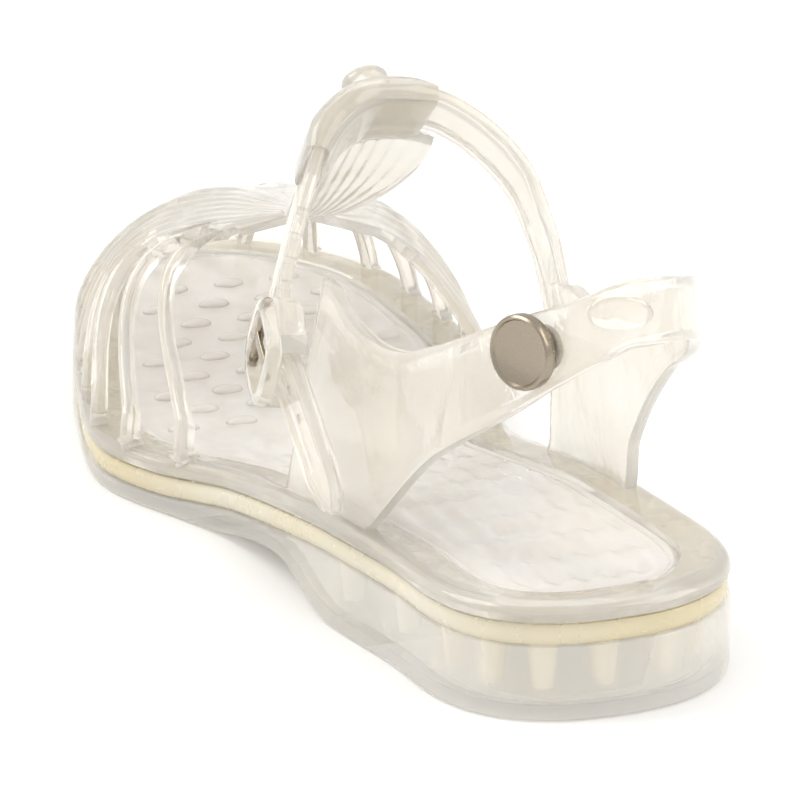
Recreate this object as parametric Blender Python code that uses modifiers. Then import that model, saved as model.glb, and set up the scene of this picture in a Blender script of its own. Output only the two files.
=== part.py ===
"""A clear moulded jelly sandal for the left foot: a shell-ribbed closed toe, a T-bar, an open
heel with a high heel band, an ankle strap with a buckle, and a hollow block-heeled sole.

Every height and width is worked out in the last's own frame: X is medial, Y runs from the heel
at 0 to the toe, Z is up from the floor. The last step moves the origin under the middle of the
sandal's box.
"""
import bmesh
import bpy
import math
from collections import namedtuple
from mathutils import Matrix, Vector

# Driving sizes of the last, in metres
MM = 0.001
LENGTH = 240 * MM
GAP = 0.3 * MM
HEEL_ROUND = 0.135
TOE_ROUND = 0.17
ROUND_POWER = 2.3
STATIONS = 34
ORIGIN_X = -2.4 * MM
ORIGIN_Y = 117.24 * MM

# Wall sizes
SOLE_WALL = 2.2 * MM
SOLE_FLOOR = 2.0 * MM
BAND_HEIGHT = 3.6 * MM
BAND_WIDTH = 10.4 * MM
BAND_INSET = 0.5 * MM
RIM_HEIGHT = 3.2 * MM
RIM_WIDTH = 9.0 * MM
WALL = 2.3 * MM
VAMP_WALL = 1.9 * MM
RIB_CROWN = 1.0 * MM
INSOLE_EDGE = 1.9 * MM
INSOLE_THICK = 2.5 * MM
INSOLE_SLOPE = 1.2 * MM
HOLLOW_DRAFT = 0.6 * MM
LEAST_SOLE_WALL = 0.6 * MM

# The sole's rounded lower edge, and the rim's section as insets and shares of its height
SoleEdge = namedtuple("SoleEdge", "inset rise")
SOLE_EDGE = (SoleEdge(1.5 * MM, 0.0), SoleEdge(0.6 * MM, 0.5 * MM), SoleEdge(0.2 * MM, 1.5 * MM))
RimPoint = namedtuple("RimPoint", "inset share")
RIM_SECTION = (
    RimPoint(0.3 * MM, 0.0),
    RimPoint(RIM_WIDTH, 0.0),
    RimPoint(RIM_WIDTH, 0.9),
    RimPoint(3.0 * MM, 1.0),
    RimPoint(1.0 * MM, 0.85),
    RimPoint(0.0, 0.4),
)

# Half widths of the sole along its length, as shares of the length
Width = namedtuple("Width", "along lateral medial")
SOLE_WIDTHS = (
    Width(0.00, 0.123, 0.130),
    Width(0.12, 0.115, 0.126),
    Width(0.28, 0.136, 0.112),
    Width(0.44, 0.141, 0.107),
    Width(0.60, 0.190, 0.139),
    Width(0.74, 0.162, 0.170),
    Width(0.88, 0.119, 0.162),
    Width(1.00, 0.100, 0.137),
)

# Height of the sole's underside and of the seam under the upper, along the length
Profile = namedtuple("Profile", "y under seam")
SOLE_PROFILE = tuple(Profile(y * MM, under * MM, seam * MM) for y, under, seam in (
    (0, 0.0, 17.8),
    (50, 0.0, 17.6),
    (60, 0.4, 17.5),
    (66, 1.9, 17.0),
    (72, 4.0, 16.2),
    (80, 5.8, 14.9),
    (90, 4.9, 13.2),
    (101, 2.7, 11.2),
    (110, 0.7, 9.5),
    (117, 0.0, 8.3),
    (128, 0.0, 7.2),
    (150, 0.0, 7.0),
    (180, 0.0, 7.5),
    (205, 1.1, 8.6),
    (225, 2.9, 10.2),
    (240, 4.8, 11.6),
))

# Half width and length of the opening round the ankle, where the quarters end
COLLAR_CENTRE_X = 1.5 * MM
COLLAR_CENTRE_Y = 27 * MM
COLLAR_HALF_WIDTH = 19.3 * MM
COLLAR_REACH = 32.5 * MM
COLLAR_POWER = 2.0
HEEL_BULGE = 2.5 * MM
COLLAR_SPREAD = 0.10
COLLAR_HEIGHT = 75 * MM
STEP_SOLE = 40 * MM
STEP_COLLAR = 43 * MM
QUARTER_INSET = 2.5 * MM

# The quarters and heel band: turn is 0 at the back of the heel and 1 at its widest point,
# then grows by one for each step forwards, and height is above the middle of the rim
Edge = namedtuple("Edge", "low_turn low_height high_turn high_height")
QUARTER_EDGES = (
    Edge(-2.28, 0.0, -2.18, 42.0),
    Edge(-2.05, 0.0, -2.06, 40.5),
    Edge(-1.75, 0.0, -1.88, 36.4),
    Edge(-1.50, 0.0, -1.62, 34.4),
    Edge(-1.42, 2.6, -1.38, 35.6),
    Edge(-1.33, 7.0, -1.22, 38.4),
    Edge(-1.16, 15.2, -1.02, 42.3),
    Edge(-0.87, 26.0, -0.80, 48.0),
    Edge(-0.61, 34.4, -0.58, 53.2),
    Edge(-0.40, 41.4, -0.36, 57.2),
    Edge(-0.20, 46.4, -0.18, 60.0),
    Edge(0.00, 49.2, 0.00, 61.0),
    Edge(0.22, 48.9, 0.20, 60.5),
    Edge(0.42, 46.9, 0.40, 59.0),
    Edge(0.64, 42.9, 0.62, 56.0),
    Edge(0.88, 36.4, 0.85, 51.5),
    Edge(1.15, 27.9, 1.10, 46.0),
    Edge(1.38, 17.9, 1.32, 41.0),
    Edge(1.50, 9.4, 1.55, 36.9),
    Edge(1.52, 3.0, 1.75, 33.6),
    Edge(1.56, 0.0, 1.95, 32.4),
    Edge(1.80, 0.0, 2.20, 34.4),
    Edge(2.10, 0.0, 2.36, 33.9),
    Edge(2.36, 0.0, 2.46, 33.4),
)
QUARTER_ROWS = 6

# The shell of ribs over the toes
THROAT = Vector((-2.0, 150.0, 47.0)) * MM
RIB_COUNT = 19
RIB_MARGIN = 0.25
FAN_START_LATERAL = 118 * MM
FAN_START_MEDIAL = 122 * MM
FAN_INSET = 1.6 * MM
FAN_ROWS = 9
FAN_FIRST = 0.17
RIB_BOW_LATERAL = 28 * MM
RIB_BOW_MEDIAL = 4 * MM
RIB_HALF_WIDTH = 1.6 * MM
WEB_LEAST = 0.06
OPENING_FIRST_ROW = 2
OPENING_LAST_ROW = 8
SIDE_FULLNESS = 2.8
TOE_FULLNESS = 1.9
SIDE_DOME = 1.35
TOE_DOME = 0.95
SIDE_BULGE = 0.06

# The ankle strap's middle line, from the medial quarter over the instep to its free tip
STRAP_WIDTH = 11.5 * MM
STRAP_THICK = 2.6 * MM
STRAP_TILT = math.radians(50)
STRAP_ROUTE = tuple(Vector(point) * MM for point in (
    (24.3, 86.0, 39.0),
    (25.4, 92.5, 44.5),
    (26.4, 100.5, 51.0),
    (25.4, 108.0, 59.0),
    (19.0, 113.8, 68.6),
    (9.5, 117.6, 74.4),
    (-1.0, 118.0, 75.8),
    (-12.0, 112.0, 73.3),
    (-19.0, 103.0, 67.0),
    (-26.2, 92.5, 58.5),
    (-32.4, 81.0, 51.3),
    (-35.2, 68.0, 44.6),
    (-34.6, 57.0, 34.6),
    (-33.2, 49.5, 25.0),
))
STRAP_STATIONS = 36
STRAP_ROOT = 0.16
STRAP_ROOT_THICK = 1.7 * MM
STRAP_CORNER = 0.7 * MM
STRAP_TIP_STATIONS = 2.2
STRAP_TIP_LEAST = 0.04
SLEEVE_FIRST = 12
SLEEVE_LAST = 19
NUB_AT = 0.405
SLEEVE_WALL = 1.5 * MM
SLEEVE_PLAY = 0.36 * MM
SLEEVE_CORNER = 1.4 * MM
SLEEVE_INNER_CORNER = 0.5 * MM
NUB_RADIUS = 3.3 * MM
NUB_TOP_RADIUS = 2.0 * MM
NUB_HEIGHT = 4 * MM
NUB_LIFT = 4.4 * MM
NUB_ACROSS = 2.0 * MM

# The leaf of the T-bar, from the throat up to the sleeve
Leaf = namedtuple("Leaf", "x y z half_width cup skew")
LEAF_SECTIONS = (
    Leaf(-2.0, 155.0, 46.2, 3.6, 0.2, 0.0),
    Leaf(-1.8, 148.5, 48.4, 5.0, 0.5, 0.0),
    Leaf(-1.2, 141.0, 53.0, 8.0, 1.5, 0.6),
    Leaf(-0.6, 134.0, 58.8, 10.8, 2.6, 1.2),
    Leaf(-0.2, 127.6, 65.2, 12.4, 3.6, 1.8),
    Leaf(0.0, 122.8, 70.4, 12.6, 4.1, 2.3),
)
LEAF_ACROSS = 6
LEAF_STATIONS = 9

# Studs and buckle
STUD_TURN = -0.545
STUD_HEIGHT = 66.5 * MM
STUD_RADIUS = 6.6 * MM
STUD_THICK = 2.4 * MM
SHANK_RADIUS = 1.6 * MM
WASHER_RADIUS = 4.2 * MM
WASHER_THICK = 1.2 * MM
STUD_STAND_OFF = 0.8 * MM
STUD_BEVEL = 0.6 * MM
SHANK_END = 0.4 * MM
BUCKLE_AT = 0.80
BUCKLE_BAR = 2.6 * MM
BUCKLE_LONG = 17 * MM
BUCKLE_SIDE_PLAY = 0.9 * MM
BUCKLE_FACE_PLAY = 0.84 * MM
BUCKLE_BACK = 2.2 * MM
BUCKLE_POST = 1.3 * MM
BUCKLE_REACH = 9 * MM
BUCKLE_ROUND_ENDS = 0.8
BUCKLE_ROUND_SIDES = 0.7
PRONG_HALF = 1.1 * MM
PRONG_THICK = 1.8 * MM
PEG_RADIUS = 3.1 * MM
PEG_TIP = 1.9 * MM
PEG_LENGTH = 9.5 * MM
PEG_INSET = 6.4 * MM
PEG_COUNT = 11
PEG_REACH = 62 * MM
PEG_SINK = 1 * MM
PEG_SIDES = 10
ROUND_SIDES = 24


def hermite(knots, values, at):
    """A smooth curve through the knots that never runs past a flat stretch."""
    at = min(max(at, knots[0]), knots[-1])
    slopes = [(values[i + 1] - values[i]) / (knots[i + 1] - knots[i]) for i in range(len(knots) - 1)]
    tangents = [slopes[0]]
    for before, after in zip(slopes, slopes[1:]):
        tangents.append(0.0 if before * after <= 0 else 2 * before * after / (before + after))
    tangents.append(slopes[-1])
    i = max(n for n in range(len(slopes)) if knots[n] <= at)
    span = knots[i + 1] - knots[i]
    t = (at - knots[i]) / span
    start = (1 + 2 * t) * (1 - t) ** 2 * values[i] + t * (1 - t) ** 2 * span * tangents[i]
    end = t * t * (3 - 2 * t) * values[i + 1] + t * t * (t - 1) * span * tangents[i + 1]
    return start + end


def along(rows, key, column, at):
    """Reads one named column of a table at a value of its key column."""
    return hermite([getattr(row, key) for row in rows], [getattr(row, column) for row in rows], at)


def under(y):
    return along(SOLE_PROFILE, "y", "under", y)


def seam(y):
    return along(SOLE_PROFILE, "y", "seam", y)


def rim_middle(y):
    return seam(y) + RIM_HEIGHT / 2


def half_width(y, side):
    """Half the sole's width at y on one side, with rounded heel and toe."""
    share = min(max(y / LENGTH, 0.0), 1.0)
    width = along(SOLE_WIDTHS, "along", side, share) * LENGTH
    into_heel = max(0.0, HEEL_ROUND - share) / HEEL_ROUND
    into_toe = max(0.0, share - 1 + TOE_ROUND) / TOE_ROUND
    for depth in (into_heel, into_toe):
        width *= max(0.0, 1 - depth ** ROUND_POWER) ** (1 / ROUND_POWER)
    return width


def outline(inset=0.0):
    """The sole's outline as points up the lateral side and back down the medial side."""
    ys = [LENGTH * (1 - math.cos(math.pi * i / STATIONS)) / 2 for i in range(STATIONS + 1)]
    loop = [Vector((-half_width(y, "lateral"), y, 0)) for y in ys]
    loop += [Vector((half_width(y, "medial"), y, 0)) for y in reversed(ys[1:-1])]
    moved = []
    for i, point in enumerate(loop):
        tangent = (loop[(i + 1) % len(loop)] - loop[i - 1]).normalized()
        moved.append(point + Vector((tangent.y, -tangent.x, 0)) * inset)
    return moved


def ring(inset, height):
    """One loop of the outline, inset, lying on the surface that height gives."""
    return [Vector((p.x, p.y, height(p.y))) for p in outline(inset)]


def add_rings(mesh, rings, closed=False):
    """Joins loops of equal length by quads, and returns their vertices."""
    made = [[mesh.verts.new(point) for point in loop] for loop in rings]
    pairs = list(zip(made, made[1:])) + ([(made[-1], made[0])] if closed else [])
    for near, far in pairs:
        for i in range(len(near)):
            j = (i + 1) % len(near)
            mesh.faces.new((near[i], near[j], far[j], far[i]))
    return made


def add_deck(mesh, loop):
    """Closes an outline loop with strips that run from side to side."""
    count = len(loop)
    for i in range(STATIONS):
        left = [loop[i], loop[i + 1]]
        right = [loop[(count - i - 1) % count], loop[(count - i) % count]]
        corners = []
        for vert in left + right:
            if vert not in corners:
                corners.append(vert)
        mesh.faces.new(corners)


def new_object(name, mesh, collection):
    bmesh.ops.recalc_face_normals(mesh, faces=mesh.faces)
    data = bpy.data.meshes.new(name)
    mesh.to_mesh(data)
    mesh.free()
    made = bpy.data.objects.new(name, data)
    collection.objects.link(made)
    return made


def paint(piece, material, sharp=35):
    piece.data.materials.clear()
    piece.data.materials.append(material)
    piece.data.shade_smooth()
    piece.data.set_sharp_from_angle(angle=math.radians(sharp))


def plain_material(name, color, roughness, metallic=0.0, clear=0.0):
    made = bpy.data.materials.new(name)
    made.use_nodes = True
    shader = made.node_tree.nodes["Principled BSDF"]
    shader.inputs["Base Color"].default_value = (*color, 1)
    shader.inputs["Roughness"].default_value = roughness
    shader.inputs["Metallic"].default_value = metallic
    shader.inputs["Transmission Weight"].default_value = clear
    return made


def make_outsole(collection):
    """The hollow cup: outer wall, rounded lower edge, underside, and the hollow's floor."""
    top = lambda y: seam(y) - GAP / 2 - BAND_HEIGHT - GAP
    lift = lambda rise: lambda y: min(under(y) + rise, top(y) - LEAST_SOLE_WALL)
    edge = [ring(point.inset, lift(point.rise)) for point in SOLE_EDGE]
    mesh = bmesh.new()
    loops = add_rings(mesh, (
        *edge,
        ring(0.0, top),
        ring(SOLE_WALL, top),
        ring(SOLE_WALL + HOLLOW_DRAFT, lambda y: under(y) + SOLE_FLOOR),
    ))
    add_deck(mesh, loops[0])
    add_deck(mesh, loops[-1])
    return new_object("outsole", mesh, collection)


def make_joint_band(collection, cutters):
    """The ochre band between sole and upper, a flat ring with pegs into the hollow heel."""
    top = lambda y: seam(y) - GAP / 2
    low = lambda y: top(y) - BAND_HEIGHT
    mesh = bmesh.new()
    add_rings(mesh, (
        ring(BAND_INSET, top),
        ring(BAND_INSET, low),
        ring(BAND_WIDTH, low),
        ring(BAND_WIDTH, top),
    ), closed=True)
    band = new_object("joint_band", mesh, collection)
    line = [p for p in outline(PEG_INSET) if p.y < PEG_REACH]
    line.sort(key=lambda p: math.atan2(p.x, PEG_REACH - p.y))
    for number in range(PEG_COUNT):
        spot = line[round((len(line) - 1) * number / (PEG_COUNT - 1))]
        peg = bmesh.new()
        depth = PEG_LENGTH + PEG_SINK
        bmesh.ops.create_cone(peg, cap_ends=True, segments=PEG_SIDES, radius1=PEG_TIP,
                              radius2=PEG_RADIUS, depth=depth)
        middle = low(spot.y) + PEG_SINK - depth / 2
        bmesh.ops.translate(peg, verts=peg.verts, vec=(spot.x, spot.y, middle))
        join(band, new_object("peg_%d" % number, peg, cutters))
    return band


def make_rim(collection):
    """The upper's lower edge, a flat flange with a rounded outer edge."""
    lift = lambda share: lambda y: seam(y) + GAP / 2 + RIM_HEIGHT * share
    mesh = bmesh.new()
    add_rings(mesh, [ring(point.inset, lift(point.share)) for point in RIM_SECTION], closed=True)
    return new_object("upper", mesh, collection)


def make_insole(collection):
    """The footbed plate inside the rim, on the joint band."""
    low = lambda y: seam(y) + GAP / 2
    inset = RIM_WIDTH + GAP
    mesh = bmesh.new()
    loops = add_rings(mesh, (
        ring(inset, low),
        ring(inset, lambda y: low(y) + INSOLE_EDGE),
        ring(inset + INSOLE_SLOPE, lambda y: low(y) + INSOLE_THICK),
    ))
    add_deck(mesh, loops[0])
    add_deck(mesh, loops[-1])
    return new_object("insole", mesh, collection)


def join(target, piece, operation="UNION", folded=False):
    """Adds or cuts one body; a folded sheet is also joined to itself where it touches."""
    piece.hide_render = True
    piece.display_type = "WIRE"
    step = target.modifiers.new(operation.title() + " " + piece.name, "BOOLEAN")
    step.operation = operation
    step.solver = "EXACT"
    step.use_self = folded
    step.object = piece


def power(value, exponent):
    return math.copysign(abs(value) ** exponent, value)


def heel_turn(turn, centre_x, centre_y, half, reach, exponent):
    """A point round the back of the heel, from -1 on the lateral side to 1 on the medial."""
    angle = math.pi / 2 * turn
    x = centre_x + half * power(math.sin(angle), 2 / exponent)
    y = centre_y - reach * max(0.0, math.cos(angle)) ** (2 / exponent)
    return x, y


def wall_point(turn, height):
    """A point of the foot's wall: on the sole's outline at the rim, and on the collar above."""
    side = "lateral" if turn < 0 else "medial"
    sign = -1 if turn < 0 else 1
    steps = abs(turn) - 1
    wide = HEEL_ROUND * LENGTH
    if steps <= 0:
        sole = heel_turn(turn, 0.0, wide, half_width(wide, side) - QUARTER_INSET,
                         wide - QUARTER_INSET, ROUND_POWER)
        collar = heel_turn(turn, COLLAR_CENTRE_X, COLLAR_CENTRE_Y, COLLAR_HALF_WIDTH, COLLAR_REACH,
                           COLLAR_POWER)
    else:
        y = wide + steps * STEP_SOLE
        sole = sign * (half_width(y, side) - QUARTER_INSET), y
        spread = COLLAR_HALF_WIDTH + COLLAR_SPREAD * steps * STEP_COLLAR
        collar = COLLAR_CENTRE_X + sign * spread, COLLAR_CENTRE_Y + steps * STEP_COLLAR
    rim = rim_middle(sole[1])
    share = height / (COLLAR_HEIGHT - rim)
    bulge = HEEL_BULGE * max(0.0, -steps) * math.sin(math.pi * share)
    x = sole[0] + (collar[0] - sole[0]) * share
    y = sole[1] + (collar[1] - sole[1]) * share - bulge
    return Vector((x, y, rim + height))


def wall_normal(turn, height):
    """The direction out of the wall."""
    step = 0.01
    round_wall = wall_point(turn + step, height) - wall_point(turn - step, height)
    up = wall_point(turn, height + MM) - wall_point(turn, height - MM)
    return round_wall.cross(up).normalized()


def solidify(piece, thickness, offset=-1, group=None):
    """Gives an open sheet its wall, inwards from its outer face or outwards from its inner one."""
    shell = piece.modifiers.new("Wall", "SOLIDIFY")
    shell.thickness = thickness
    shell.offset = offset
    shell.use_even_offset = False
    if group:
        shell.vertex_group = group


def face_outwards(mesh, centre):
    """Turns an open sheet's faces away from a point inside the foot."""
    mesh.normal_update()
    votes = sum(face.normal.dot(face.calc_center_median() - centre) for face in mesh.faces)
    if votes < 0:
        bmesh.ops.reverse_faces(mesh, faces=mesh.faces)


def sheet_object(name, mesh, collection, centre):
    bmesh.ops.recalc_face_normals(mesh, faces=mesh.faces)
    face_outwards(mesh, centre)
    data = bpy.data.meshes.new(name)
    mesh.to_mesh(data)
    mesh.free()
    made = bpy.data.objects.new(name, data)
    collection.objects.link(made)
    return made


def make_quarters(collection):
    """Both quarters and the heel band between them, one sheet between its low and high edges."""
    keys = list(range(len(QUARTER_EDGES)))
    columns = []
    for step in range(2 * len(keys) - 1):
        at = step / 2
        read = [hermite(keys, [getattr(row, name) for row in QUARTER_EDGES], at) for name in Edge._fields]
        low_turn, low_height, high_turn, high_height = read
        column = []
        for row in range(QUARTER_ROWS + 1):
            share = row / QUARTER_ROWS
            turn = low_turn + (high_turn - low_turn) * share
            height = low_height + (high_height - low_height) * share
            column.append(wall_point(turn, height * MM))
        columns.append(column)
    mesh = bmesh.new()
    grid = [[mesh.verts.new(point) for point in column] for column in columns]
    for near, far in zip(grid, grid[1:]):
        for row in range(QUARTER_ROWS):
            mesh.faces.new((near[row], far[row], far[row + 1], near[row + 1]))
    sheet = sheet_object("quarters", mesh, collection, Vector((0, 60, 40)) * MM)
    solidify(sheet, WALL)
    return sheet


def landing_line():
    """The rim's line under the shell of ribs, from the lateral landing round the toe."""
    loop = outline(FAN_INSET)
    line = [p for p in loop[:STATIONS] if p.y > FAN_START_LATERAL]
    line += [p for p in loop[STATIONS:] if p.y > FAN_START_MEDIAL]
    behind = loop[loop.index(line[0]) - 1], loop[loop.index(line[-1]) + 1]
    for end, start, before in ((0, FAN_START_LATERAL, behind[0]), (-1, FAN_START_MEDIAL, behind[1])):
        near = line[end]
        landing = near.lerp(before, (near.y - start) / (near.y - before.y))
        line.insert(0 if end == 0 else len(line), landing)
    lengths = [0.0]
    for near, far in zip(line, line[1:]):
        lengths.append(lengths[-1] + (far - near).length)
    return line, lengths


def fan_point(line, lengths, share, row_share):
    """A point of the shell: share runs round the toe, row_share from the throat to the rim."""
    at = lengths[-1] * share
    x = hermite(lengths, [p.x for p in line], at)
    y = hermite(lengths, [p.y for p in line], at)
    end = Vector((x, y, rim_middle(y)))
    side = abs(2 * share - 1)
    fullness = TOE_FULLNESS + (SIDE_FULLNESS - TOE_FULLNESS) * side
    angle = math.pi / 2 * row_share
    out = math.sin(angle) ** (2 / fullness)
    out += SIDE_BULGE * side * math.sin(math.pi * row_share ** 2) ** 2
    dome = TOE_DOME + (SIDE_DOME - TOE_DOME) * side
    up = max(0.0, math.cos(angle)) ** (2 / dome)
    flat = THROAT.lerp(end, out)
    bow = RIB_BOW_LATERAL if share < 0.5 else RIB_BOW_MEDIAL
    bow *= side ** 1.5 * math.sin(math.pi * min(out, 1.0) ** 2.0)
    return Vector((flat.x, flat.y + bow, end.z + (THROAT.z - end.z) * up))


def make_vamp(collection):
    """The shell over the toes: ribs that fan out from the throat, with openings between."""
    line, lengths = landing_line()
    row_shares = [FAN_FIRST + (1 - FAN_FIRST) * row / FAN_ROWS for row in range(FAN_ROWS + 1)]
    pitch = 1 / (RIB_COUNT - 1 + 2 * RIB_MARGIN)
    mesh = bmesh.new()
    crown = []
    rows = []
    for row, row_share in enumerate(row_shares):
        room = lengths[-1] * pitch * math.sin(math.pi / 2 * row_share)
        half = min(RIB_HALF_WIDTH / room, 0.5 - WEB_LEAST)
        if row == OPENING_LAST_ROW:
            half = (half + 0.5) / 2
        made = []
        for rib in range(RIB_COUNT):
            middle = (rib + RIB_MARGIN) * pitch
            for offset in (-half, 0, half):
                share = min(max(middle + offset * pitch, 0.0), 1.0)
                vert = mesh.verts.new(fan_point(line, lengths, share, row_share))
                made.append(vert)
                if offset == 0:
                    crown.append(vert)
        rows.append(made)
    hub = mesh.verts.new(THROAT)
    for near, far in zip(rows[0], rows[0][1:]):
        mesh.faces.new((hub, near, far))
    for row in range(FAN_ROWS):
        for column in range(len(rows[0]) - 1):
            opening = column % 3 == 2 and OPENING_FIRST_ROW <= row < OPENING_LAST_ROW
            if not opening:
                mesh.faces.new((rows[row][column], rows[row + 1][column],
                                rows[row + 1][column + 1], rows[row][column + 1]))
    mesh.normal_update()
    mesh.verts.index_update()
    crown_at = [vert.index for vert in crown]
    sheet = sheet_object("vamp", mesh, collection, Vector((0, 170, 15)) * MM)
    group = sheet.vertex_groups.new(name="Wall thickness")
    full = VAMP_WALL + RIB_CROWN
    group.add(range(len(sheet.data.vertices)), VAMP_WALL / full, "REPLACE")
    group.add(crown_at, 1.0, "REPLACE")
    inner = [vert.co - vert.normal * VAMP_WALL for vert in sheet.data.vertices]
    for vert, place in zip(sheet.data.vertices, inner):
        vert.co = place
    solidify(sheet, full, 1, group.name)
    return sheet


def route_point(points, share):
    """A point on a smooth line through the route's points, by share of its length."""
    lengths = [0.0]
    for near, far in zip(points, points[1:]):
        lengths.append(lengths[-1] + (far - near).length)
    at = lengths[-1] * share
    return Vector(tuple(hermite(lengths, [p[axis] for p in points], at) for axis in range(3)))


def strap_frame(share):
    """The strap's place, and its directions along, across and out of its face."""
    step = 0.004
    place = route_point(STRAP_ROUTE, share)
    ahead = route_point(STRAP_ROUTE, min(share + step, 1)) - route_point(STRAP_ROUTE, max(share - step, 0))
    ahead.normalize()
    across = Vector((0, -math.cos(STRAP_TILT), math.sin(STRAP_TILT)))
    across = (across - ahead * across.dot(ahead)).normalized()
    return place, ahead, across, ahead.cross(across).normalized()


def rounded_section(half_across, half_out, corner):
    """A flat band's section, with each corner cut once, as across and out pairs."""
    a, o, c = half_across, half_out, corner
    return ((a, o - c), (a - c, o), (c - a, o), (-a, o - c),
            (-a, c - o), (c - a, -o), (a - c, -o), (a, c - o))


def make_strap(collection):
    """The ankle strap as one band with a rounded free tip."""
    loops = []
    for station in range(STRAP_STATIONS + 1):
        share = station / STRAP_STATIONS
        place, ahead, across, out = strap_frame(share)
        from_tip = max(0.0, 1 - (1 - share) * STRAP_STATIONS / STRAP_TIP_STATIONS)
        half = STRAP_WIDTH / 2 * math.sqrt(max(STRAP_TIP_LEAST, 1 - from_tip ** 2))
        rooted = max(0.0, 1 - share / STRAP_ROOT)
        thick = STRAP_THICK + (STRAP_ROOT_THICK - STRAP_THICK) * rooted
        section = rounded_section(half, thick / 2, STRAP_CORNER)
        loops.append([place + across * a + out * o for a, o in section])
    mesh = bmesh.new()
    made = add_rings(mesh, loops)
    mesh.faces.new(made[0])
    mesh.faces.new(made[-1])
    return new_object("strap", mesh, collection)


def make_sleeve(collection):
    """The flat tube at the top of the T-bar that the ankle strap runs through."""
    inner_half = STRAP_WIDTH / 2 + SLEEVE_PLAY
    inner_out = STRAP_THICK / 2 + SLEEVE_PLAY
    outer, inner = [], []
    for station in range(SLEEVE_FIRST, SLEEVE_LAST + 1):
        place, ahead, across, out = strap_frame(station / STRAP_STATIONS)
        large = rounded_section(inner_half + SLEEVE_WALL, inner_out + SLEEVE_WALL, SLEEVE_CORNER)
        small = rounded_section(inner_half, inner_out, SLEEVE_INNER_CORNER)
        outer.append([place + across * a + out * o for a, o in large])
        inner.append([place + across * a + out * o for a, o in small])
    mesh = bmesh.new()
    add_rings(mesh, outer + inner[::-1], closed=True)
    return new_object("sleeve", mesh, collection)


def make_leaf(collection):
    """The T-bar's leaf, cupped over the instep, from the throat to the sleeve."""
    keys = [row.z for row in LEAF_SECTIONS]
    mesh = bmesh.new()
    grid = []
    for station in range(LEAF_STATIONS + 1):
        z = keys[0] + (keys[-1] - keys[0]) * station / LEAF_STATIONS
        columns = ("x", "y", "half_width", "cup", "skew")
        x, y, half, cup, skew = (along(LEAF_SECTIONS, "z", name, z) for name in columns)
        row = []
        for column in range(LEAF_ACROSS + 1):
            side = 2 * column / LEAF_ACROSS - 1
            drop = cup * side * side
            back = drop - skew * side
            row.append(mesh.verts.new(Vector((x + side * half, y - back, z - drop * 0.5)) * MM))
        grid.append(row)
    for near, far in zip(grid, grid[1:]):
        for column in range(LEAF_ACROSS):
            mesh.faces.new((near[column], near[column + 1], far[column + 1], far[column]))
    sheet = sheet_object("leaf", mesh, collection, Vector((0, 110, 40)) * MM)
    solidify(sheet, WALL)
    return sheet


def make_nub(collection):
    """The small moulded knob on top of the sleeve."""
    place, ahead, across, out = strap_frame(NUB_AT)
    mesh = bmesh.new()
    bmesh.ops.create_cone(mesh, cap_ends=True, segments=8, radius1=NUB_RADIUS, radius2=NUB_TOP_RADIUS,
                          depth=NUB_HEIGHT)
    turn = Matrix((ahead, across, out)).transposed().to_4x4()
    shift = Matrix.Translation(place + out * NUB_LIFT + across * NUB_ACROSS)
    bmesh.ops.transform(mesh, verts=mesh.verts, matrix=shift @ turn)
    return new_object("nub", mesh, collection)


def disc(name, collection, centre, axis, profile, sides=ROUND_SIDES):
    """A turned piece: rings of radius and distance along its axis, closed at both ends."""
    turn = axis.to_track_quat("Z", "Y").to_matrix()
    rings = []
    for radius, along_axis in profile:
        loop = []
        for i in range(sides):
            angle = 2 * math.pi * i / sides
            local = Vector((radius * math.cos(angle), radius * math.sin(angle), along_axis))
            loop.append(centre + turn @ local)
        rings.append(loop)
    mesh = bmesh.new()
    made = add_rings(mesh, rings)
    mesh.faces.new(made[0])
    mesh.faces.new(made[-1])
    return new_object(name, mesh, collection)


def stud_seat():
    """The middle of the stud's seat on the outer face of the wall, and the way out of it."""
    height = STUD_HEIGHT - rim_middle(0)
    return wall_point(STUD_TURN, height), wall_normal(STUD_TURN, height)


def make_stud(collection, cutters, upper):
    """The metal cap with its shank through the wall, and the washer inside."""
    seat, out = stud_seat()
    face = STUD_STAND_OFF
    inside = -WALL - STUD_STAND_OFF
    tip = inside - WASHER_THICK - SHANK_END
    disc("stud_cap", collection, seat, out, (
        (SHANK_RADIUS, tip), (SHANK_RADIUS, face), (STUD_RADIUS, face),
        (STUD_RADIUS, face + STUD_THICK - STUD_BEVEL), (STUD_RADIUS - STUD_BEVEL, face + STUD_THICK)))
    hole = SHANK_RADIUS + GAP
    washer = disc("stud_washer", collection, seat, out, (
        (WASHER_RADIUS, inside), (WASHER_RADIUS, inside - WASHER_THICK)), 16)
    bore = disc("washer_bore", cutters, seat, out, ((hole, inside + MM), (hole, tip - 2 * MM)), 16)
    join(washer, bore, "DIFFERENCE")
    wall_bore = disc("wall_bore", cutters, seat, out, ((hole, 3 * MM), (hole, -WALL - 3 * MM)), 16)
    join(upper, wall_bore, "DIFFERENCE")


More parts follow.
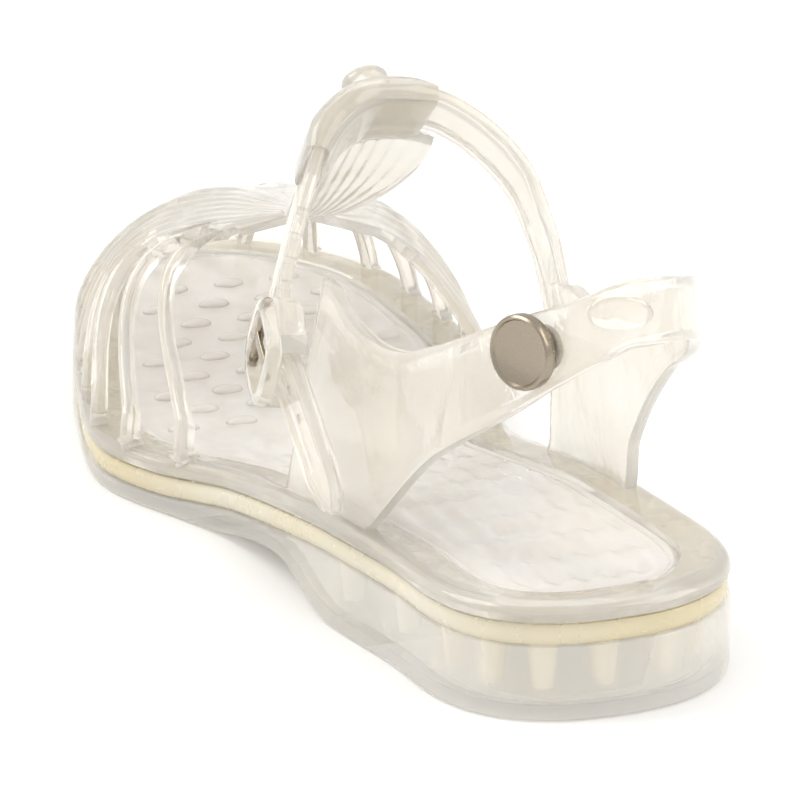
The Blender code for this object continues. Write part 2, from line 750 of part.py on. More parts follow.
def make_buckle(collection, cutters):
    """The clear frame round the strap, and the metal prong on its bar."""
    place, ahead, across, out = strap_frame(BUCKLE_AT)
    turn = Matrix((across, ahead, out)).transposed().to_4x4()
    room = STRAP_WIDTH / 2 + BUCKLE_SIDE_PLAY
    side = room + BUCKLE_BAR
    over = STRAP_THICK / 2 + BUCKLE_FACE_PLAY
    long = BUCKLE_LONG / 2

    def block(name, low, high, where):
        mesh = bmesh.new()
        bmesh.ops.create_cube(mesh, size=1)
        size = Vector(high) - Vector(low)
        middle = (Vector(high) + Vector(low)) / 2
        bmesh.ops.transform(mesh, verts=mesh.verts, matrix=Matrix.LocRotScale(middle, None, size))
        bmesh.ops.transform(mesh, verts=mesh.verts, matrix=Matrix.Translation(place) @ turn)
        return new_object(name, mesh, where)

    plan = []
    for i in range(ROUND_SIDES):
        angle = 2 * math.pi * i / ROUND_SIDES
        plan.append((power(math.cos(angle), BUCKLE_ROUND_SIDES) * side,
                     power(math.sin(angle), BUCKLE_ROUND_ENDS) * long))
    mesh = bmesh.new()
    loops = []
    for height in (over - BUCKLE_BACK - STRAP_THICK, over + BUCKLE_BAR):
        loops.append([place + across * a + ahead * b + out * height for a, b in plan])
    made = add_rings(mesh, loops)
    mesh.faces.new(made[0])
    mesh.faces.new(made[-1])
    frame = new_object("buckle_frame", mesh, collection)
    reach = long + BUCKLE_REACH
    slot = block("buckle_slot", (-room, -reach, -over), (room, reach, over), cutters)
    join(frame, slot, "DIFFERENCE")
    window = long - BUCKLE_BAR
    inside = room - GAP
    upper_window = block("buckle_window", (-inside, -window, 0), (inside, window, BUCKLE_REACH), cutters)
    join(frame, upper_window, "DIFFERENCE")
    lower_window = block("buckle_back_window", (-inside, BUCKLE_POST, -BUCKLE_REACH),
                         (inside, reach, 0), cutters)
    join(frame, lower_window, "DIFFERENCE")
    lower_front = block("buckle_front_window", (-inside, -reach, -BUCKLE_REACH),
                        (inside, -BUCKLE_POST, 0), cutters)
    join(frame, lower_front, "DIFFERENCE")
    prong_low = over + GAP
    block("buckle_prong", (-PRONG_HALF, -window + GAP, prong_low),
          (PRONG_HALF, window - GAP, prong_low + PRONG_THICK), collection)


def clear_scene():
    for piece in list(bpy.data.objects):
        bpy.data.objects.remove(piece, do_unlink=True)


def main():
    clear_scene()
    parts = bpy.data.collections.new("jelly_sandal")
    cutters = bpy.data.collections.new("cutters")
    for group in (parts, cutters):
        bpy.context.scene.collection.children.link(group)
    make_outsole(parts)
    make_joint_band(parts, cutters)
    make_insole(parts)
    upper = make_rim(parts)
    for piece in (make_quarters(cutters), make_vamp(cutters), make_leaf(cutters), make_sleeve(cutters),
                  make_strap(cutters), make_nub(cutters)):
        join(upper, piece, folded=piece.name == "vamp")
    make_stud(parts, cutters, upper)
    make_buckle(parts, cutters)
    clear = plain_material("clear jelly", (0.86, 0.83, 0.76), 0.12, clear=0.9)
    ochre = plain_material("ochre joint", (0.84, 0.76, 0.56), 0.3, clear=0.4)
    nickel = plain_material("dark nickel", (0.38, 0.34, 0.29), 0.28, metallic=1.0)
    coats = {"outsole": clear, "joint_band": ochre, "insole": clear, "upper": clear, "stud_cap": nickel,
             "stud_washer": nickel, "buckle_frame": clear, "buckle_prong": nickel}
    for name, coat in coats.items():
        paint(bpy.data.objects[name], coat)
    for piece in list(parts.objects) + list(cutters.objects):
        piece.data.transform(Matrix.Translation((-ORIGIN_X, -ORIGIN_Y, 0)))


main()
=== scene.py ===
"""A clear moulded jelly sandal for the left foot on a pale floor, dressed for the photograph.

Shapes are worked out in the last's own frame, X medial, Y from heel to toe and Z up, and each
finished piece is then shifted so that the origin lies under the middle of the sandal.
"""
import bmesh
import bpy
import math
from collections import namedtuple
from mathutils import Matrix, Vector


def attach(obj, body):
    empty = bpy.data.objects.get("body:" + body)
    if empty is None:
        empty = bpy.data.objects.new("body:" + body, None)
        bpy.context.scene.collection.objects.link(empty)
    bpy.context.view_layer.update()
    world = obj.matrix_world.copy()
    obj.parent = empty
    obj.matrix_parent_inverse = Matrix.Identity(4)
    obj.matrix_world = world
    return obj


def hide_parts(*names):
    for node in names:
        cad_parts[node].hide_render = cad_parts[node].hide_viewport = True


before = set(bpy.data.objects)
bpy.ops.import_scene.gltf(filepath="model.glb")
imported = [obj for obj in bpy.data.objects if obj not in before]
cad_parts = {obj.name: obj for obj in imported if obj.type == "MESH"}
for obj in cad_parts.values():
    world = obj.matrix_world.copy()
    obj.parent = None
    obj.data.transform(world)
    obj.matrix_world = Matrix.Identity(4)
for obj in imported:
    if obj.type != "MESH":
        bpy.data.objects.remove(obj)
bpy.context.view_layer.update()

# Driving sizes of the last, in metres
MM = 0.001
LENGTH = 240 * MM
GAP = 0.3 * MM
HEEL_ROUND = 0.135
TOE_ROUND = 0.17
ROUND_POWER = 2.3
ORIGIN_X = -2.4 * MM
ORIGIN_Y = 117.24 * MM

# Wall sizes
SOLE_WALL = 2.2 * MM
SOLE_FLOOR = 2.0 * MM
BAND_HEIGHT = 3.6 * MM
RIM_HEIGHT = 3.2 * MM
RIM_WIDTH = 9.0 * MM
WALL = 2.3 * MM
VAMP_WALL = 1.9 * MM
RIB_CROWN = 1.0 * MM

# Half widths of the sole along its length, as shares of the length
Width = namedtuple("Width", "along lateral medial")
SOLE_WIDTHS = (
    Width(0.00, 0.123, 0.130),
    Width(0.12, 0.115, 0.126),
    Width(0.28, 0.136, 0.112),
    Width(0.44, 0.141, 0.107),
    Width(0.60, 0.190, 0.139),
    Width(0.74, 0.162, 0.170),
    Width(0.88, 0.119, 0.162),
    Width(1.00, 0.100, 0.137),
)

# Height of the sole's underside and of the seam under the upper, along the length
Profile = namedtuple("Profile", "y under seam")
SOLE_PROFILE = tuple(Profile(y * MM, under * MM, seam * MM) for y, under, seam in (
    (0, 0.0, 17.8),
    (50, 0.0, 17.6),
    (60, 0.4, 17.5),
    (66, 1.9, 17.0),
    (72, 4.0, 16.2),
    (80, 5.8, 14.9),
    (90, 4.9, 13.2),
    (101, 2.7, 11.2),
    (110, 0.7, 9.5),
    (117, 0.0, 8.3),
    (128, 0.0, 7.2),
    (150, 0.0, 7.0),
    (180, 0.0, 7.5),
    (205, 1.1, 8.6),
    (225, 2.9, 10.2),
    (240, 4.8, 11.6),
))

# Half width and length of the opening round the ankle, where the quarters end
COLLAR_CENTRE_X = 1.5 * MM
COLLAR_CENTRE_Y = 27 * MM
COLLAR_HALF_WIDTH = 19.3 * MM
COLLAR_REACH = 32.5 * MM
COLLAR_POWER = 2.0
HEEL_BULGE = 2.5 * MM
COLLAR_SPREAD = 0.10
COLLAR_HEIGHT = 75 * MM
STEP_SOLE = 40 * MM
STEP_COLLAR = 43 * MM
QUARTER_INSET = 2.5 * MM

# The quarters and heel band: turn is 0 at the back of the heel and 1 at its widest point,
# then grows by one for each step forwards, and height is above the middle of the rim
Edge = namedtuple("Edge", "low_turn low_height high_turn high_height")
QUARTER_EDGES = (
    Edge(-2.28, 0.0, -2.18, 42.0),
    Edge(-2.05, 0.0, -2.06, 40.5),
    Edge(-1.75, 0.0, -1.88, 36.4),
    Edge(-1.50, 0.0, -1.62, 34.4),
    Edge(-1.42, 2.6, -1.38, 35.6),
    Edge(-1.33, 7.0, -1.22, 38.4),
    Edge(-1.16, 15.2, -1.02, 42.3),
    Edge(-0.87, 26.0, -0.80, 48.0),
    Edge(-0.61, 34.4, -0.58, 53.2),
    Edge(-0.40, 41.4, -0.36, 57.2),
    Edge(-0.20, 46.4, -0.18, 60.0),
    Edge(0.00, 49.2, 0.00, 61.0),
    Edge(0.22, 48.9, 0.20, 60.5),
    Edge(0.42, 46.9, 0.40, 59.0),
    Edge(0.64, 42.9, 0.62, 56.0),
    Edge(0.88, 36.4, 0.85, 51.5),
    Edge(1.15, 27.9, 1.10, 46.0),
    Edge(1.38, 17.9, 1.32, 41.0),
    Edge(1.50, 9.4, 1.55, 36.9),
    Edge(1.52, 3.0, 1.75, 33.6),
    Edge(1.56, 0.0, 1.95, 32.4),
    Edge(1.80, 0.0, 2.20, 34.4),
    Edge(2.10, 0.0, 2.36, 33.9),
    Edge(2.36, 0.0, 2.46, 33.4),
)

# The shell of ribs over the toes
THROAT = Vector((-2.0, 150.0, 47.0)) * MM
RIB_COUNT = 19
RIB_MARGIN = 0.25
FAN_START_LATERAL = 118 * MM
FAN_START_MEDIAL = 122 * MM
FAN_INSET = 1.6 * MM
FAN_FIRST = 0.17
RIB_BOW_LATERAL = 28 * MM
RIB_BOW_MEDIAL = 4 * MM
RIB_HALF_WIDTH = 1.6 * MM
WEB_LEAST = 0.06
SIDE_FULLNESS = 2.8
TOE_FULLNESS = 1.9
SIDE_DOME = 1.35
TOE_DOME = 0.95
SIDE_BULGE = 0.06

# The ankle strap's middle line, from the medial quarter over the instep to its free tip
STRAP_WIDTH = 11.5 * MM
STRAP_THICK = 2.6 * MM
STRAP_TILT = math.radians(50)
STRAP_ROUTE = tuple(Vector(point) * MM for point in (
    (24.3, 86.0, 39.0),
    (25.4, 92.5, 44.5),
    (26.4, 100.5, 51.0),
    (25.4, 108.0, 59.0),
    (19.0, 113.8, 68.6),
    (9.5, 117.6, 74.4),
    (-1.0, 118.0, 75.8),
    (-12.0, 112.0, 73.3),
    (-19.0, 103.0, 67.0),
    (-26.2, 92.5, 58.5),
    (-32.4, 81.0, 51.3),
    (-35.2, 68.0, 44.6),
    (-34.6, 57.0, 34.6),
    (-33.2, 49.5, 25.0),
))
STRAP_STATIONS = 36
STRAP_ROOT = 0.16
STRAP_ROOT_THICK = 1.7 * MM
SLEEVE_FIRST = 12
SLEEVE_LAST = 19
NUB_AT = 0.405
SLEEVE_WALL = 1.5 * MM

# The leaf of the T-bar, from the throat up to the sleeve
Leaf = namedtuple("Leaf", "x y z half_width cup skew")
LEAF_SECTIONS = (
    Leaf(-2.0, 155.0, 46.2, 3.6, 0.2, 0.0),
    Leaf(-1.8, 148.5, 48.4, 5.0, 0.5, 0.0),
    Leaf(-1.2, 141.0, 53.0, 8.0, 1.5, 0.6),
    Leaf(-0.6, 134.0, 58.8, 10.8, 2.6, 1.2),
    Leaf(-0.2, 127.6, 65.2, 12.4, 3.6, 1.8),
    Leaf(0.0, 122.8, 70.4, 12.6, 4.1, 2.3),
)

# Studs and buckle
STUD_TURN = -0.545
STUD_HEIGHT = 66.5 * MM
STUD_RADIUS = 6.6 * MM
STUD_THICK = 2.4 * MM
SHANK_RADIUS = 1.6 * MM
WASHER_THICK = 1.2 * MM
BUCKLE_AT = 0.80
BUCKLE_BAR = 2.6 * MM
BUCKLE_LONG = 17 * MM
BUCKLE_SIDE_PLAY = 0.9 * MM
BUCKLE_FACE_PLAY = 0.84 * MM
BUCKLE_BACK = 2.2 * MM
BUCKLE_POST = 1.3 * MM
BUCKLE_REACH = 9 * MM
BUCKLE_ROUND = 0.75
WINDOW_ROUND = 0.45
BUCKLE_EDGE = 1.0 * MM
BUCKLE_BEVEL = 0.35 * MM
WASHER_BEVEL = 0.15 * MM
PRONG_HALF = 1.1 * MM
PRONG_THICK = 1.8 * MM
PIN_RADIUS = 0.85 * MM
PEG_RADIUS = 3.1 * MM
PEG_TIP = 1.9 * MM
PEG_LENGTH = 9.5 * MM
PEG_INSET = 6.4 * MM
PEG_COUNT = 11
PEG_REACH = 62 * MM
PEG_SINK = 0.8 * MM
BUCKLE_SIDES = 72
PRONG_LEAF = 0.4 * MM
EYE_STEPS = 16
EYE_FROM = -0.25
EYE_TO = 1.5
TONGUE_STEPS = 14
TONGUE_TIP = 0.55
TONGUE_TAPER = 0.09
TONGUE_ROUND = 0.7
PIN_SIDES = 32
PIN_REACH = 0.6


# How finely the visible pieces are made
STATIONS = 96
QUARTER_STEPS = 6
QUARTER_FINE_ROWS = 16
QUARTER_THIN = 0.8
FINE_ROWS = 40
RIB_COLUMNS = (-1.0, -0.7, -0.35, 0.0, 0.35, 0.7, 1.0)
CROWN_ROUND = 0.8
CROWN_START = 0.15
CROWN_RUN = 0.3
GAP_ROUND = 0.10
GAP_ROUND_RIM = 0.08
GAP_FROM = 0.22
GAP_TO = 0.90
STRAP_FINE = 150
SLEEVE_STEPS = 34
SLEEVE_LIP_STEPS = 7
SLEEVE_LIP = 0.35
SLEEVE_ROUND = 0.7
SLEEVE_PLAY = 0.36 * MM
SLEEVE_INNER_CORNER = 0.5 * MM
KNOB_SIZE = Vector((4.6, 3.8, 2.7)) * MM
KNOB_ACROSS = 3.7 * MM
KNOB_LIFT = 3.5 * MM
LEAF_FINE_ACROSS = 36
LEAF_FINE_LONG = 30
LEAF_VEINS = 5
VEIN_DEPTH = 0.12
SHEET_BEVEL = 0.45 * MM
FOLDED_PIECES = ("vamp", "leaf", "sleeve", "strap")
HOLE_COUNT = 9
HOLE_FIRST = 0.60
HOLE_PITCH = 0.036
HOLE_RADIUS = 0.9 * MM
HOLE_DEPTH = 6 * MM
HOLE_SIDES = 16
PAD_TURN = -0.12
PAD_HEIGHT = 55.5 * MM
PAD_SIZE = Vector((5.6, 3.2, 1.0)) * MM
PAD_SINK = 0.3 * MM
BORE_REACH = 3 * MM
BORE_SIDES = 32

# The footbed's relief and massage nubs
NUB_ROWS = 9
NUB_ROW_FIRST = 142 * MM
NUB_ROW_PITCH = 9 * MM
NUB_COLUMN_PITCH = 11.5 * MM
NUB_SIZE = Vector((3.1, 1.7, 1.1)) * MM
RELIEF_PITCH = 10.5 * MM
RELIEF_DEPTH = 0.6 * MM
RELIEF_SLANT = 0.45
RELIEF_FORE_SHARE = 0.35
RELIEF_HEEL_END = 95 * MM
RELIEF_HEEL_FADE = 18 * MM
RELIEF_MARGIN = 2.2 * MM
RELIEF_FADE = 3.0 * MM
GROOVE_INSET = 1.8 * MM
GROOVE_WIDTH = 0.6 * MM
PLATE_ACROSS = 44
PLATE_THICK = 2.5 * MM
PLATE_EDGE_DROP = 0.9 * MM
PLATE_EDGE = 1.2 * MM
NUB_MARGIN = 6 * MM

# Sections of the moulded rims: distance in from the outline, and rise over the piece's lower face
Section = namedtuple("Section", "inset rise")
SOLE_OUTER = tuple(Section(inset * MM, rise * MM) for inset, rise in (
    (1.5, 0.0), (1.0, 0.06), (0.62, 0.25), (0.34, 0.6), (0.2, 1.1), (0.1, 1.7)))
SOLE_INNER = tuple(Section(inset * MM, rise * MM) for inset, rise in (
    (0.25, 2.6), (0.6, 1.2), (1.3, 0.4), (2.6, 0.0)))
SOLE_LIP = 0.3 * MM
SOLE_LIP_DROP = 0.4 * MM
SOLE_OUTER_LEAST = 0.6 * MM
SOLE_INNER_LEAST = 0.5 * MM

# The same for the band and the rim, with the rise as a share of the piece's height
BAND_SECTION = tuple(Section(inset * MM, rise) for inset, rise in (
    (1.0, 1.0), (0.62, 0.88), (0.5, 0.6), (0.5, 0.4), (0.62, 0.12), (1.0, 0.0),
    (10.1, 0.0), (10.4, 0.1), (10.4, 0.9), (10.1, 1.0)))
RIM_SECTION = tuple(Section(inset * MM, rise) for inset, rise in (
    (0.9, 0.0), (8.8, 0.0), (9.0, 0.1), (9.0, 0.8), (8.7, 0.9), (4.4, 1.0), (3.0, 1.0),
    (1.9, 0.97), (1.0, 0.85), (0.35, 0.6), (0.1, 0.35), (0.3, 0.12)))

# The stud's turned face: distance in from its edge, and rise as a share of its thickness
CAP_SECTION = tuple(Section(inset * MM, rise) for inset, rise in (
    (0.0, 0.7), (0.15, 0.88), (0.5, 1.0), (0.8, 0.97), (1.05, 0.82), (1.3, 0.78)))
CAP_BREAK = 0.3 * MM
CAP_MIDDLE_RADIUS = 0.4 * MM
CAP_MIDDLE_RISE = 0.8
STUD_STAND_OFF = 0.5 * MM
SHANK_END = 0.4 * MM

# The strap's section over half its width: share across and share of its crown
StrapEdge = namedtuple("StrapEdge", "across out")
STRAP_EDGE = (StrapEdge(1.0, 0.35), StrapEdge(0.985, 0.7), StrapEdge(0.94, 0.93),
              StrapEdge(0.88, 1.0), StrapEdge(0.80, 0.93))
STRAP_DIP = 0.45 * MM
STRAP_DIP_FROM = 0.72
STRAP_DIP_TO = 0.3
STRAP_TIP_STATIONS = 2.2
STRAP_TIP_LEAST = 0.04

# The photograph's camera, in the last's frame
PHOTO_SIDE = 800
PHOTO_FOCAL = 4500
CAMERA_PLACE = Vector((-0.4797, -1.1655, 0.4938))
CAMERA_FORWARD = Vector((0.3609, 0.8845, -0.2957))
CAMERA_RIGHT = Vector((0.9259, -0.3778, 0.0))
AIM_ACROSS = 287
AIM_DOWN = 549
ZOOM = 1.75
SENSOR = 36

# The plastics' finishes
Finish = namedtuple("Finish", (
    "name", "thin_color", "thick_color", "roughness", "transmission", "alpha",
    "wave_size", "wave_height",
))
CLEAR_FINISH = Finish("clear jelly", (0.945, 0.922, 0.872), (0.915, 0.87, 0.785),
                      0.06, 0.78, 0.86, 70.0, 0.4 * MM)
SOLE_FINISH = Finish("milky sole jelly", (0.99, 0.965, 0.91), (0.985, 0.945, 0.865),
                     0.05, 0.54, 0.48, 55.0, 0.2 * MM)
PEG_FINISH = Finish("peg jelly", (0.98, 0.93, 0.80), (0.95, 0.87, 0.68),
                    0.12, 0.15, 1.0, 55.0, 0.2 * MM)
FOOTBED_FINISH = Finish("footbed jelly", (0.985, 0.96, 0.925), (0.98, 0.94, 0.90),
                        0.06, 0.42, 0.84, 110.0, 0.45 * MM)
OCHRE_FINISH = Finish("ochre joint", (0.92, 0.87, 0.73), (0.84, 0.74, 0.49),
                      0.2, 0.30, 0.9, 18.0, 0.1 * MM)
METAL_COLOUR = (0.32, 0.275, 0.215)
METAL_ROUGHNESS = 0.24
METAL_MARKS = 0.05 * MM
POLISHED = 0.6
HANDLED = 2.2
FLOOR_COLOUR = (0.92, 0.92, 0.925)

# Light
WORLD_LEVEL = 1.0
KEY_WATTS = 13
FILL_WATTS = 8
LAMP_COLOUR = (1.0, 0.97, 0.91)

temporary = []


def hermite(knots, values, at):
    """A smooth curve through the knots that never runs past a flat stretch."""
    at = min(max(at, knots[0]), knots[-1])
    slopes = [(values[i + 1] - values[i]) / (knots[i + 1] - knots[i]) for i in range(len(knots) - 1)]
    tangents = [slopes[0]]
    for before, after in zip(slopes, slopes[1:]):
        tangents.append(0.0 if before * after <= 0 else 2 * before * after / (before + after))
    tangents.append(slopes[-1])
    i = max(n for n in range(len(slopes)) if knots[n] <= at)
    span = knots[i + 1] - knots[i]
    t = (at - knots[i]) / span
    start = (1 + 2 * t) * (1 - t) ** 2 * values[i] + t * (1 - t) ** 2 * span * tangents[i]
    end = t * t * (3 - 2 * t) * values[i + 1] + t * t * (t - 1) * span * tangents[i + 1]
    return start + end


def along(rows, key, column, at):
    """Reads one named column of a table at a value of its key column."""
    return hermite([getattr(row, key) for row in rows], [getattr(row, column) for row in rows], at)


def under(y):
    return along(SOLE_PROFILE, "y", "under", y)


def seam(y):
    return along(SOLE_PROFILE, "y", "seam", y)


def rim_middle(y):
    return seam(y) + RIM_HEIGHT / 2


def half_width(y, side):
    """Half the sole's width at y on one side, with rounded heel and toe."""
    share = min(max(y / LENGTH, 0.0), 1.0)
    width = along(SOLE_WIDTHS, "along", side, share) * LENGTH
    into_heel = max(0.0, HEEL_ROUND - share) / HEEL_ROUND
    into_toe = max(0.0, share - 1 + TOE_ROUND) / TOE_ROUND
    for depth in (into_heel, into_toe):
        width *= max(0.0, 1 - depth ** ROUND_POWER) ** (1 / ROUND_POWER)
    return width


def outline(inset=0.0):
    """The sole's outline as points up the lateral side and back down the medial side."""
    ys = [LENGTH * (1 - math.cos(math.pi * i / STATIONS)) / 2 for i in range(STATIONS + 1)]
    loop = [Vector((-half_width(y, "lateral"), y, 0)) for y in ys]
    loop += [Vector((half_width(y, "medial"), y, 0)) for y in reversed(ys[1:-1])]
    moved = []
    for i, point in enumerate(loop):
        tangent = (loop[(i + 1) % len(loop)] - loop[i - 1]).normalized()
        moved.append(point + Vector((tangent.y, -tangent.x, 0)) * inset)
    return moved


def ring(inset, height):
    """One loop of the outline, inset, lying on the surface that height gives."""
    return [Vector((p.x, p.y, height(p.y))) for p in outline(inset)]


def add_rings(mesh, rings, closed=False):
    """Joins loops of equal length by quads, and returns their vertices."""
    made = [[mesh.verts.new(point) for point in loop] for loop in rings]
    pairs = list(zip(made, made[1:])) + ([(made[-1], made[0])] if closed else [])
    for near, far in pairs:
        for i in range(len(near)):
            j = (i + 1) % len(near)
            mesh.faces.new((near[i], near[j], far[j], far[i]))
    return made


def add_deck(mesh, loop):
    """Closes an outline loop with strips that run from side to side."""
    count = len(loop)
    for i in range(STATIONS):
        left = [loop[i], loop[i + 1]]
        right = [loop[(count - i - 1) % count], loop[(count - i) % count]]
        corners = []
        for vert in left + right:
            if vert not in corners:
                corners.append(vert)
        mesh.faces.new(corners)


def power(value, exponent):
    return math.copysign(abs(value) ** exponent, value)


def heel_turn(turn, centre_x, centre_y, half, reach, exponent):
    """A point round the back of the heel, from -1 on the lateral side to 1 on the medial."""
    angle = math.pi / 2 * turn
    x = centre_x + half * power(math.sin(angle), 2 / exponent)
    y = centre_y - reach * max(0.0, math.cos(angle)) ** (2 / exponent)
    return x, y


def wall_point(turn, height):
    """A point of the foot's wall: on the sole's outline at the rim, and on the collar above."""
    side = "lateral" if turn < 0 else "medial"
    sign = -1 if turn < 0 else 1
    steps = abs(turn) - 1
    wide = HEEL_ROUND * LENGTH
    if steps <= 0:
        sole = heel_turn(turn, 0.0, wide, half_width(wide, side) - QUARTER_INSET,
                         wide - QUARTER_INSET, ROUND_POWER)
        collar = heel_turn(turn, COLLAR_CENTRE_X, COLLAR_CENTRE_Y, COLLAR_HALF_WIDTH, COLLAR_REACH,
                           COLLAR_POWER)
    else:
        y = wide + steps * STEP_SOLE
        sole = sign * (half_width(y, side) - QUARTER_INSET), y
        spread = COLLAR_HALF_WIDTH + COLLAR_SPREAD * steps * STEP_COLLAR
        collar = COLLAR_CENTRE_X + sign * spread, COLLAR_CENTRE_Y + steps * STEP_COLLAR
    rim = rim_middle(sole[1])
    share = height / (COLLAR_HEIGHT - rim)
    bulge = HEEL_BULGE * max(0.0, -steps) * math.sin(math.pi * share)
    x = sole[0] + (collar[0] - sole[0]) * share
    y = sole[1] + (collar[1] - sole[1]) * share - bulge
    return Vector((x, y, rim + height))


def wall_normal(turn, height):
    """The direction out of the wall."""
    step = 0.01
    round_wall = wall_point(turn + step, height) - wall_point(turn - step, height)
    up = wall_point(turn, height + MM) - wall_point(turn, height - MM)
    return round_wall.cross(up).normalized()


def face_outwards(mesh, centre):
    """Turns an open sheet's faces away from a point inside the foot."""
    mesh.normal_update()
    votes = sum(face.normal.dot(face.calc_center_median() - centre) for face in mesh.faces)
    if votes < 0:
        bmesh.ops.reverse_faces(mesh, faces=mesh.faces)


def landing_line():
    """The rim's line under the shell of ribs, from the lateral landing round the toe."""
    loop = outline(FAN_INSET)
    line = [p for p in loop[:STATIONS] if p.y > FAN_START_LATERAL]
    line += [p for p in loop[STATIONS:] if p.y > FAN_START_MEDIAL]
    behind = loop[loop.index(line[0]) - 1], loop[loop.index(line[-1]) + 1]
    for end, start, before in ((0, FAN_START_LATERAL, behind[0]), (-1, FAN_START_MEDIAL, behind[1])):
        near = line[end]
        landing = near.lerp(before, (near.y - start) / (near.y - before.y))
        line.insert(0 if end == 0 else len(line), landing)
    lengths = [0.0]
    for near, far in zip(line, line[1:]):
        lengths.append(lengths[-1] + (far - near).length)
    return line, lengths


def fan_point(line, lengths, share, row_share):
    """A point of the shell: share runs round the toe, row_share from the throat to the rim."""
    at = lengths[-1] * share
    x = hermite(lengths, [p.x for p in line], at)
    y = hermite(lengths, [p.y for p in line], at)
    end = Vector((x, y, rim_middle(y)))
    side = abs(2 * share - 1)
    fullness = TOE_FULLNESS + (SIDE_FULLNESS - TOE_FULLNESS) * side
    angle = math.pi / 2 * row_share
    out = math.sin(angle) ** (2 / fullness)
    out += SIDE_BULGE * side * math.sin(math.pi * row_share ** 2) ** 2
    dome = TOE_DOME + (SIDE_DOME - TOE_DOME) * side
    up = max(0.0, math.cos(angle)) ** (2 / dome)
    flat = THROAT.lerp(end, out)
    bow = RIB_BOW_LATERAL if share < 0.5 else RIB_BOW_MEDIAL
    bow *= side ** 1.5 * math.sin(math.pi * min(out, 1.0) ** 2.0)
    return Vector((flat.x, flat.y + bow, end.z + (THROAT.z - end.z) * up))


def route_point(points, share):
    """A point on a smooth line through the route's points, by share of its length."""
    lengths = [0.0]
    for near, far in zip(points, points[1:]):
        lengths.append(lengths[-1] + (far - near).length)
    at = lengths[-1] * share
    return Vector(tuple(hermite(lengths, [p[axis] for p in points], at) for axis in range(3)))


def strap_frame(share):
    """The strap's place, and its directions along, across and out of its face."""
    step = 0.004
    place = route_point(STRAP_ROUTE, share)
    ahead = route_point(STRAP_ROUTE, min(share + step, 1)) - route_point(STRAP_ROUTE, max(share - step, 0))
    ahead.normalize()
    across = Vector((0, -math.cos(STRAP_TILT), math.sin(STRAP_TILT)))
    across = (across - ahead * across.dot(ahead)).normalized()
    return place, ahead, across, ahead.cross(across).normalized()


def stud_seat():
    """The middle of the stud's seat on the outer face of the wall, and the way out of it."""
    height = STUD_HEIGHT - rim_middle(0)
    return wall_point(STUD_TURN, height), wall_normal(STUD_TURN, height)


def shift_to_row(data):
    data.transform(Matrix.Translation((-ORIGIN_X, -ORIGIN_Y, 0)))


def new_object(name, mesh, centre=None):
    """A working object in the last's frame; a sheet's faces turn away from its centre."""
    bmesh.ops.recalc_face_normals(mesh, faces=mesh.faces)
    if centre:
        face_outwards(mesh, centre)
    data = bpy.data.meshes.new(name)
    mesh.to_mesh(data)
    mesh.free()
    made = bpy.data.objects.new(name, data)
    bpy.context.scene.collection.objects.link(made)
    temporary.append(made)
    return made


def solidify(piece, thickness, offset=-1, group=None):
    shell = piece.modifiers.new("Wall", "SOLIDIFY")
    shell.thickness = thickness
    shell.offset = offset
    shell.use_even_offset = False
    if group:
        shell.vertex_group = group


def step_inwards(piece, depth):
    """Moves a sheet to its wall's inner face, from which the wall then grows outwards."""
    inner = [vert.co - vert.normal * depth for vert in piece.data.vertices]
    for vert, place in zip(piece.data.vertices, inner):
        vert.co = place


def soften(piece, width, segments=2, angle=50):
    """Rounds a piece's sharp edges, as a mould does."""
    edge = piece.modifiers.new("Soft edge", "BEVEL")
    edge.width = width
    edge.segments = segments
    edge.limit_method = "ANGLE"
    edge.angle_limit = math.radians(angle)
    edge.use_clamp_overlap = True


def join(target, piece, operation="UNION", folded=False):
    step = target.modifiers.new(operation.title() + " " + piece.name, "BOOLEAN")
    step.operation = operation
    step.solver = "EXACT"
    step.use_self = folded
    step.object = piece


def finish_piece(piece, name, material, nodes, sharp=38):
    """Applies a working object's modifiers, moves it to the row frame and gives it its finish."""
    deps = bpy.context.evaluated_depsgraph_get()
    data = bpy.data.meshes.new_from_object(piece.evaluated_get(deps))
    data.name = name
    shift_to_row(data)
    data.materials.clear()
    data.materials.append(material)
    for face in data.polygons:
        face.material_index = 0
    data.shade_smooth()
    data.set_sharp_from_angle(angle=math.radians(sharp))
    made = bpy.data.objects.new(name, data)
    bpy.context.scene.collection.objects.link(made)
    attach(made, "root")
    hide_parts(*nodes)
    return made


def clear_temporary():
    for piece in temporary:
        bpy.data.objects.remove(piece, do_unlink=True)
    temporary.clear()


def make_outsole():
    """The hollow cup, with a rounded lower edge and a fillet inside."""
    top = lambda y: seam(y) - GAP / 2 - BAND_HEIGHT - GAP
    floor = lambda y: under(y) + SOLE_FLOOR
    outer = lambda rise: lambda y: min(under(y) + rise, top(y) - SOLE_OUTER_LEAST)
    inner = lambda rise: lambda y: min(floor(y) + rise, top(y) - SOLE_INNER_LEAST)
    rings = [ring(point.inset, outer(point.rise)) for point in SOLE_OUTER]
    rings.append(ring(0.0, lambda y: top(y) - SOLE_LIP_DROP))
    rings.append(ring(SOLE_LIP, top))
    rings.append(ring(SOLE_WALL - SOLE_LIP, top))
    rings += [ring(SOLE_WALL + point.inset, inner(point.rise)) for point in SOLE_INNER]
    mesh = bmesh.new()
    loops = add_rings(mesh, rings)
    add_deck(mesh, loops[0])
    add_deck(mesh, loops[-1])
    return new_object("outsole_work", mesh)


def make_band():
    """The ochre joint band, with a softly rounded outer edge."""
    top = lambda y: seam(y) - GAP / 2
    height = lambda rise: lambda y: top(y) - BAND_HEIGHT * (1 - rise)
    rings = [ring(point.inset, height(point.rise)) for point in BAND_SECTION]
    mesh = bmesh.new()
    add_rings(mesh, rings, closed=True)
    return new_object("band_work", mesh)


